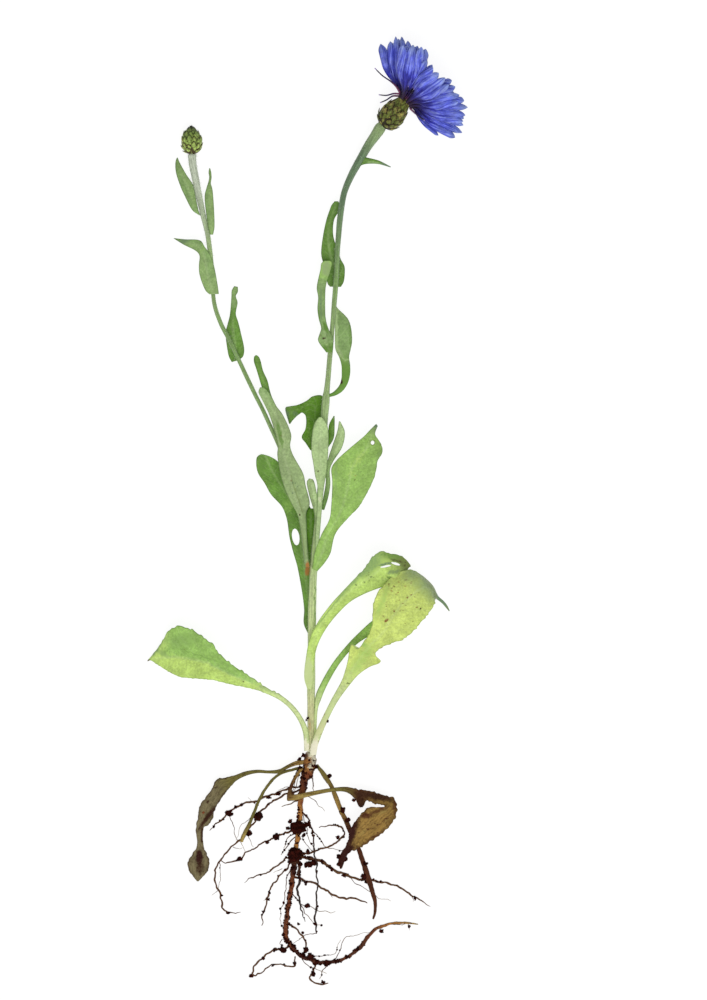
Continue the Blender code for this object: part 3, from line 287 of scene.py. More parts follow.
# Leaves. Each row is one station from the leaf's base to its tip: (x, y) on its first edge, (x, y) on its
# second edge, then its height. The rib runs at shares of the way from the first edge to the second.
# The colours are those of the petiole, the two halves and the tip; where the two halves differ, the darker
# half is painted shade of the fold along the rib. petiole and tip_from are the shares of the length where
# they change. fold and ripple lift the margins, and a wave of the ripple is so many millimetres long.
# Teeth are (edge, start, end, spacing, depth), rolls (edge, start, end, height), holes (x, y, long radius,
# short radius, tilt in degrees). ragged is how far a margin is torn.
LEAF_DEFAULTS = dict(
    slot="leaf_green", rib=(0.5,), rib_shows=0.22, fold=0.08, ripple=0.12, wave=8, petiole=0.2, specks=0.2,
    tip_from=0.9, teeth=(), rolls=(), holes=(),
)
ROSETTE = {
    "basal_leaf_left": dict(
        slot="basal_leaf", colours="celery meadow lime lime", rib=(0.5, 0.46, 0.5, 0.5, 0.62, 0.8),
        fold=0.1, ripple=0.35, wave=8.5, petiole=0.4, specks=0.35,
        teeth=[("first", 0.3, 0.98, 2.3, 0.55), ("second", 0.35, 0.95, 1.6, 0.16)],
        rows=[
        (-0.5, 1.8, -2, 1.8, 3.7), (-0.9, 8, -2.5, 7.6, 4.3), (-4, 13.9, -5, 12.8, 5.8),
        (-8.2, 18, -8.9, 16.7, 7.3), (-13.6, 21.1, -14.4, 19.4, 8.7), (-16.6, 23.2, -17.6, 20.4, 9.3),
        (-23.6, 27.9, -25.3, 22.1, 9.9), (-26.6, 30.3, -29, 23, 9.6), (-29.5, 33.9, -32.2, 23.3, 8.9),
        (-36.2, 38.3, -38.6, 23.8, 6.7), (-39.5, 38.8, -41.2, 24.8, 5.4), (-42.2, 37.6, -43.4, 26, 4.2),
        (-43.9, 34.8, -45.4, 27.2, 3), (-47.2, 30.2, -47.9, 28.6, 1.2), (-48.6, 28.6, -48.7, 28.3, 0.6),
        ]),
    "basal_leaf_right": dict(
        slot="basal_leaf", colours="celery lemon lemon ash", rib=(0.5, 0.45, 0.42, 0.46, 0.56, 0.6),
        fold=-0.06, ripple=0.4, wave=9, petiole=0.34, specks=1, tip_from=0.8,
        teeth=[("first", 0.48, 0.86, 2.3, 0.28), ("second", 0.46, 0.88, 1.9, 0.42)],
        rolls=[("first", 0.66, 0.94, -2.6)],
        rows=[
        (-0.4, 0.6, 1.5, 0.6, 4.35), (0.2, 4.4, 2.2, 4, 4.6), (5.6, 16.3, 7.2, 15.4, 6.6),
        (9.1, 22.8, 11.7, 21.8, 7.9), (10.2, 26, 14.2, 24.7, 8.6), (11, 29.2, 17.4, 26.9, 9.3),
        (11.4, 32, 20.2, 28, 9.6), (12, 33.6, 20.6, 28.8, 9.8), (13.7, 32.3, 19.1, 30.3, 10.2),
        (16, 34.9, 20.4, 32.3, 10.6), (17.9, 38.4, 24.2, 34, 11.2), (18.2, 42, 27.4, 35.2, 11.7),
        (18.5, 45.6, 30.2, 37.4, 12), (19.7, 48.8, 32.6, 40.1, 12), (24.4, 54, 35.9, 44.2, 11.2),
        (27.6, 55.5, 36.6, 45.8, 10.4), (30.4, 55.4, 36.8, 46.6, 9.4), (35.9, 51.1, 37, 47.1, 6.8),
        (37.8, 47.7, 37.5, 46.7, 5), (39.4, 46.3, 38.9, 45.6, 3.4), (40.5, 44.9, 39.9, 44.5, 1.8),
        (41.2, 43.4, 41, 43.2, 0.6),
        ]),
    "basal_leaf_arching": dict(
        slot="basal_leaf", colours="lime lime lime olive", rib=(0.5, 0.5, 0.42, 0.36, 0.45, 0.5), fold=0.16,
        ripple=0.3, wave=7.5, petiole=0.24, specks=0.7, teeth=[("first", 0.7, 0.98, 2, 0.35)],
        holes=[(22.1, 56.65, 1.7, 0.3, 10), (25.1, 57.4, 1.4, 0.38, -16)],
        rows=[
        (-1.2, 20.4, 0.2, 20, 4.3), (-2, 23.4, 0.7, 23, 4.6), (-1.4, 30.2, 1.1, 29.9, 5.1),
        (-0.4, 35, 2.3, 34.1, 5.5), (2, 40, 4.7, 38.5, 6), (5.5, 44.9, 8.5, 43.2, 6.7),
        (9.6, 49.5, 12.6, 46.8, 7.4), (15.9, 56.2, 19.8, 50.1, 8.3), (18, 59.2, 22.8, 50.9, 8.2),
        (20.4, 61, 25.4, 52.2, 7.8), (23.8, 60.4, 27, 53.8, 7.2), (26.6, 59.8, 28.3, 55.2, 6.5),
        (28.2, 58.6, 29, 56.2, 6), (29.5, 57, 29.5, 56.5, 5.6),
        ]),
    "basal_leaf_middle": dict(
        colours="celery meadow leafy leafy", fold=0.22, ripple=0.15, wave=9, petiole=0.3, specks=0.4,
        rows=[
        (0.7, 4.5, 1.5, 4.2, 3.2), (1, 14.5, 2, 14.2, 3.2), (1.3, 18, 3, 17.2, 3.2),
        (2.8, 21.6, 4.5, 20.8, 3.2), (6.6, 28.1, 8.6, 27.9, 3.3), (11.4, 34, 13.3, 33.2, 3),
        (14.6, 37.2, 16.8, 35.6, 2.7), (17.8, 40.1, 20.6, 37.5, 2.3), (21.5, 42.6, 24.4, 40.4, 1.8),
        (25, 44.9, 26.8, 43.6, 1.2), (27.3, 45.8, 27.6, 45.4, 0.7),
        ]),
}
CLUSTER = {  # half-way up the stem
    "stem_leaf_dark_left": dict(
        colours="fern moss moss moss", ripple=0.22, wave=10, petiole=0.12, specks=0.5,
        holes=[(-4.6, 65.3, 1.1, 2.5, 8)],
        rows=[
        (-1, 36.6, 0.2, 36.4, 1.5), (-2.2, 39.6, 0.6, 40, 1.5), (-2.1, 44, 0.6, 44, 1.4),
        (-4, 56, 0.1, 56, 1.2), (-5.4, 61, -0.1, 60.8, 1.1), (-6.5, 65.6, 0.2, 64.8, 1),
        (-7.2, 70.4, 0.6, 68.6, 1), (-8.6, 74.2, 0.4, 72.4, 0.95), (-11.9, 77.9, -1.6, 76.4, 0.95),
        (-13.9, 81.4, -4.2, 80.2, 1), (-15.9, 84.6, -6.4, 83.6, 1.05), (-16.2, 88.8, -10.2, 88, 1.15),
        (-15.2, 89.8, -12.2, 89.2, 1.2), (-14.4, 89.9, -13.6, 89.7, 1.2),
        ]),
    "stem_leaf_long_left": dict(
        slot="leaf_grey", colours="silver silver silver sage", rib=(0.5, 0.35, 0.35, 0.42, 0.5, 0.5),
        fold=0.1, ripple=0.18, wave=9, petiole=0.1, specks=0.6,
        rows=[
        (-1.7, 56.5, -0.5, 56.5, 4.9), (-2.3, 61, -1, 61, 5), (-3.5, 70, -1.4, 70, 5.05),
        (-4.3, 72.6, -1.4, 72.7, 5.1), (-5.7, 75, -0.4, 75, 5.2), (-8.1, 80.6, -1.6, 80.6, 5.4),
        (-9, 83.8, -2.3, 84, 5.5), (-10, 90, -5.5, 90, 5.75), (-9.8, 92.4, -6.2, 92.4, 5.8),
        (-10.4, 95.4, -5.9, 95.6, 5.8), (-12.4, 101.6, -8.4, 101.6, 5.7), (-13.6, 104.2, -10.3, 104.2, 5.6),
        (-14.8, 106.6, -11.6, 106.8, 5.4), (-15.6, 108.4, -13, 108.8, 5.3),
        (-15.2, 109.7, -14.2, 109.8, 5.2),
        ]),
    "stem_leaf_behind_long": dict(
        colours="moss moss fern moss", fold=0.1, wave=7,
        rows=[
        (-10, 94, -8.8, 94, 4), (-11, 98, -9, 98, 4.1), (-12.3, 102, -9.6, 102, 4.1),
        (-13.3, 105.5, -11, 105.2, 4.1), (-14.4, 109, -12.2, 108.6, 4.05), (-15.3, 112, -12.9, 111.6, 4),
        (-16.2, 115, -14.3, 114.8, 3.9), (-17, 117.6, -15, 117.6, 3.75), (-16.9, 118.9, -15.5, 118.8, 3.65),
        (-16.5, 119.3, -16.1, 119.3, 3.6),
        ]),
    "stem_leaf_centre": dict(
        slot="leaf_grey", colours="pale pale pale pale", petiole=0.25, specks=0.3,
        rows=[
        (1.2, 60, 2.2, 60, 5.3), (1.3, 66, 2.6, 66, 5.45), (1.9, 80.5, 3.9, 80.5, 5.7),
        (1.2, 83.5, 4.4, 83.5, 5.75), (0.7, 87, 4.8, 87, 5.8), (0.1, 90.8, 5.1, 91, 5.9),
        (0.6, 97.6, 5, 97.8, 6.1), (1.4, 99.7, 4.1, 99.8, 6.15), (2.4, 100.9, 3.2, 100.9, 6.2),
        ]),
    "side_leaf_small": dict(
        slot="leaf_grey", colours="silver silver pale silver", fold=0.15, ripple=0.08, wave=5,
        rows=[
        (1, 69, 1.7, 69, 4.9), (0.9, 72.5, 2, 72.5, 5), (-0.6, 78, 1.7, 78, 5.25),
        (-1.2, 81.8, 0.9, 81.8, 5.4), (-0.6, 82.7, 0.5, 82.5, 5.4),
        ]),
    "side_leaf_behind": dict(
        colours="deep deep deep deep", ripple=0.08, wave=6,
        rows=[
        (-0.4, 57.5, 0.5, 57.5, 2), (-1.5, 72.4, 1.3, 72.4, 2), (-0.6, 73.8, 0.6, 73.8, 2),
        ]),
    "side_leaf_grey": dict(
        slot="leaf_grey", colours="fern silver pale pale", fold=0.12, ripple=0.1, wave=6,
        rows=[
        (2.9, 73.5, 3.9, 73.3, 3.9), (3.6, 77, 5, 76.8, 3.95), (4.3, 81, 5.7, 80.8, 4),
        (4.4, 85, 5.6, 85.2, 4.1), (4.9, 88, 6.5, 87.6, 4.2), (6.4, 92.6, 9.3, 92.2, 4.3),
        (7.8, 96.8, 10, 96.6, 4.2), (8.3, 99.7, 8.7, 99.6, 4),
        ]),
    "side_leaf_dark": dict(
        colours="deep deep fern sage", ripple=0.05, wave=4,
        rows=[
        (4.6, 92, 5.2, 92, 4.5), (5, 95, 6.7, 94.6, 4.65), (5.4, 98.8, 7, 98.4, 4.8),
        (6.7, 101.3, 7, 101.2, 4.9),
        ]),
    "stem_leaf_right": dict(
        slot="basal_leaf", colours="leafy leafy leafy ash", rib=(0.5, 0.45, 0.4, 0.42, 0.5, 0.5), fold=0.12,
        ripple=0.3, wave=9, specks=0.3, tip_from=0.95, teeth=[("second", 0.3, 0.92, 1.7, 0.12)],
        holes=[(18.25, 93.3, 0.55, 0.65, 0)],
        rows=[
        (0.3, 56, 1.9, 55.2, 5.15), (0.7, 58.4, 4, 57.6, 5.35), (1.1, 60.8, 5.7, 60.4, 5.5),
        (3, 65.8, 7.2, 66.2, 5.8), (5.5, 70.8, 11.6, 71.6, 6.3), (6, 74.4, 14.2, 74.3, 6.7),
        (6.3, 82, 18.2, 81.6, 7.2), (6.1, 85.8, 19.3, 85, 7.2), (7.7, 88.2, 19.8, 88, 6.9),
        (10.4, 90.7, 21.1, 90.2, 6.4), (13.2, 93.1, 20.9, 92.6, 5.8), (15.6, 95.1, 19.9, 94.3, 5.2),
        (17.4, 97, 19, 95.9, 4.7), (19.3, 98.9, 19.8, 98.3, 4),
        ]),
    "stem_leaf_drooping": dict(
        colours="deep deep deep fern", fold=0.04, ripple=0.1, tip_from=0.8, rib_shows=0.1,
        rows=[
        (-0.3, 91.2, 2.2, 90, 2.7), (-1.6, 93.2, 2.6, 93.4, 2.65), (-2.8, 95, 3, 96.6, 2.6),
        (-1.7, 97.4, 3.4, 99.8, 2.6), (-1.6, 101.2, 3.4, 107.2, 2.55), (-2.2, 102, 0.4, 107.1, 2.45),
        (-2.8, 102.3, -1.2, 105.9, 2.3), (-3.4, 101.9, -4, 104.6, 2), (-4.3, 101.2, -6.2, 104.2, 1.7),
        (-5.3, 100.2, -7.6, 103.8, 1.4), (-6.3, 98.9, -6.6, 99.1, 0.9),
        ]),
}
STALK_LEAVES = {  # on the flower's stalk, then on the bud's
    "flower_leaf_right": dict(
        slot="leaf_grey", colours="moss silver sage silver", rib=(0.5, 0.5, 0.5, 0.12, 0.12, 0.3),
        fold=0.06, petiole=0.42,
        rows=[
        (5, 107.6, 5.6, 106.9, 4.5), (6.6, 108.4, 7.4, 107.4, 4.3), (8.3, 110.2, 9.4, 108.7, 4),
        (9, 112.3, 10.9, 111, 3.6), (9.1, 114.4, 11.6, 113.8, 3.3), (9, 116.4, 11.6, 116.4, 3.1),
        (8.4, 118.6, 11.3, 118.8, 2.95), (7.3, 120.9, 11.8, 121.2, 2.9), (7.1, 123.6, 12.2, 124, 2.9),
        (7.1, 129.2, 11.2, 129.7, 2.9), (6.9, 133.4, 8, 133.2, 2.85), (6.9, 134.3, 7.2, 134.3, 2.8),
        ]),
    "flower_leaf_left_lower": dict(
        slot="leaf_grey", colours="fern sage sage meadow", wave=6.5, petiole=0.1, specks=0.3, tip_from=0.8,
        rows=[
        (4.5, 120.1, 6.4, 120.1, 5.95), (2.1, 123.6, 6.6, 124.3, 6), (2.5, 125.5, 5.6, 126.2, 5.8),
        (3, 127.2, 4.8, 128.2, 5.5), (2.3, 130, 4.3, 130.6, 5.2), (1.9, 133, 4.2, 133, 4.9),
        (2.1, 136.5, 4.2, 136.5, 4.8), (1.7, 139.4, 4.4, 139.8, 4.7), (2.8, 144.8, 5.8, 144.8, 4.85),
        (3.1, 146.6, 6.2, 146.8, 4.95), (3.9, 147.3, 5.6, 147.3, 5),
        ]),
    "flower_leaf_left_upper": dict(
        colours="fern fern fern fern", fold=0.06,
        rows=[
        (5.6, 139.7, 8.8, 139.6, 3.2), (4.9, 140.6, 9.6, 140.9, 3.2), (4.7, 142.4, 10, 143.4, 3.15),
        (4.2, 144.6, 9.9, 145.8, 3.1), (3.5, 147, 8.8, 147.9, 3), (3, 149.4, 8.2, 150, 2.95),
        (3.5, 154.6, 6.6, 154.8, 2.7), (4.6, 159.8, 6.9, 159.8, 2.6), (5.4, 162.2, 8.2, 162, 2.6),
        (6.1, 164, 8.6, 163.8, 2.65), (7, 165.1, 8.1, 165.1, 2.7),
        ]),
    "flower_leaf_top": dict(
        colours="fern fern sage slate", fold=0.15, ripple=0.06, wave=5,
        rows=[
        (15.6, 178.3, 14.8, 175.6, 4.5), (16.6, 178, 15.9, 176, 4.45), (20.2, 177.1, 19.8, 176.1, 3.9),
        (23.7, 175.4, 23.6, 175.15, 2.8),
        ]),
    "bud_leaf_upper_left": dict(
        colours="sage sage budleaf sage", fold=0.12,
        rows=[
        (-33.6, 161.1, -32.9, 160.9, 3.4), (-35.2, 162.3, -33.4, 162.2, 3.5),
        (-37.6, 166.8, -34.4, 167, 3.15), (-38.7, 169.2, -34.9, 169.6, 2.8),
        (-40.2, 173.8, -37.3, 173.4, 2), (-40.3, 177.2, -39.2, 176.9, 1.2),
        (-39.9, 178.2, -39.7, 178.1, 0.9),
        ]),
    "bud_leaf_upper_right": dict(
        colours="budleaf sage budleaf sage", fold=0.14, ripple=0.1, wave=7,
        rows=[
        (-30, 155.2, -29.1, 155.2, 3.3), (-30.6, 157.6, -28.7, 157.4, 3.9),
        (-31.6, 166.6, -29.1, 166.6, 3.6), (-31.1, 169, -29.4, 169, 3.1), (-30.5, 171, -29.8, 170.4, 2.6),
        (-30.3, 172.4, -29.6, 172.2, 2.2), (-30.5, 173.8, -29.7, 173.6, 1.7), (-30.3, 175, -30, 174.9, 1.4),
        ]),
    "bud_leaf_middle": dict(
        colours="budleaf budleaf sage sage", fold=0.06, ripple=0.1,
        rows=[
        (-30.2, 137.4, -27.4, 137.5, 4), (-31.4, 138.6, -27.7, 139.8, 4), (-33.1, 143.2, -28.6, 144.8, 4.1),
        (-33.3, 146, -29.3, 147.6, 4.2), (-33.1, 148.6, -30.4, 149.9, 4.2),
        (-33.6, 149.7, -31.6, 151.5, 4.1), (-34.7, 150.6, -32.8, 153.3, 3.8),
        (-37.9, 152.2, -37.6, 153.8, 2.6), (-40.9, 154.1, -40.8, 154.2, 1.4),
        ]),
    "bud_leaf_lower": dict(
        colours="moss fern moss sage", wave=7, tip_from=0.7,
        rows=[
        (-23.6, 117.3, -21.6, 118, 1.4), (-24.4, 118.8, -20.4, 118.8, 1.4), (-24.9, 121, -19.9, 120.8, 1.4),
        (-25.4, 126.2, -21, 126.4, 1.4), (-24.8, 128.8, -21.7, 129.2, 1.4),
        (-24.2, 131.2, -22.4, 131.6, 1.45), (-23.8, 135.4, -21.9, 135.2, 1.55),
        (-23.7, 137.2, -22.4, 137, 1.6), (-23.6, 138.6, -21.8, 138.2, 1.6),
        (-22.9, 139.9, -21.8, 139.7, 1.6),
        ]),
}
WITHERED_LEAVES = {
    "withered_leaf_left": dict(
        slot="withered_leaf",
        withered="0 dead_brown, 0.12 dead_olive, 0.4 dead_olive, 0.52 dead_grey, 1 dead_grey",
        fold=0.2, ripple=0.45, wave=5.5, ragged=0.16,
        rows=[
        (-1.8, -0.9, -2.4, -2.3, 3.1), (-4.6, -1.3, -4.9, -2.7, 2.9), (-7, -2.4, -7.3, -3.7, 2.7),
        (-9.4, -3.7, -9.3, -4.9, 2.5), (-12.6, -4.1, -12.6, -5, 2.35), (-16, -3.9, -16, -4.9, 2.25),
        (-19.6, -4.4, -19.4, -5.7, 2.2), (-22.6, -5.5, -22.4, -7.3, 2.2), (-25.4, -6.2, -24.3, -9.4, 2.2),
        (-28.1, -6.8, -25.7, -11, 2.15), (-29.4, -9.4, -27.6, -13.9, 2), (-31.4, -12.2, -28.7, -15.9, 1.8),
        (-33.1, -14.6, -29.2, -18.2, 1.6), (-33.7, -18.2, -30.4, -20.2, 1.35),
        (-34.3, -21.6, -32, -21.4, 1.1), (-34, -26.6, -32, -26.6, 0.8), (-36.2, -30.4, -30.5, -30.4, 0.7),
        (-36.8, -32.2, -30.3, -32.2, 0.65), (-36.2, -34.2, -30.9, -34.2, 0.6),
        (-34, -37.2, -33.5, -37.2, 0.4),
        ]),
    "withered_leaf_right": dict(
        slot="withered_leaf",
        withered="0 dead_brown, 0.1 bark_dark, 0.18 dead_straw, 0.36 dead_olive, 0.46 bark_dark, "
        "0.56 dead_brown, 0.86 dead_brown, 0.93 bark_dark",
        fold=0.12, ripple=0.4, wave=6, ragged=0.22,
        rows=[
        (-2.2, -3.4, -3.5, -3.6, 4), (-4.4, -6.6, -5.7, -7, 3.9), (-5.7, -9.8, -7, -10.6, 4.1),
        (-5.4, -11, -7.1, -12.8, 4.4), (-4, -11, -4.6, -12.9, 4.55), (-1, -10.4, -1.2, -11.9, 4.5),
        (7, -9.1, 7, -10.3, 4.15), (10.5, -8.9, 10.4, -10.5, 4), (13, -9.4, 12.6, -12, 3.8),
        (15.2, -9.8, 14.9, -15.2, 3.5), (17.4, -10.1, 16.6, -13, 3.4), (19.6, -10.7, 18.6, -13.9, 3.4),
        (22, -11.5, 20.6, -14.2, 3.5), (24.4, -12.1, 21.8, -14.4, 3.9), (25.3, -13.6, 21.6, -14.9, 4.9),
        (25.4, -16.6, 19.6, -14.8, 5.8), (24.6, -18.6, 17.4, -14.8, 6.2), (22.4, -21.4, 15.2, -16.4, 6.2),
        (16.4, -25.8, 11.6, -21.6, 5.2), (13.4, -27.4, 11, -24.6, 4.4), (11.2, -28.6, 10.2, -26.6, 3.8),
        (10.4, -30, 8.7, -28.9, 3.2), (9.8, -31.6, 8, -31.2, 2.8), (9.2, -33.2, 8.6, -33.4, 2.4),
        ]),
}
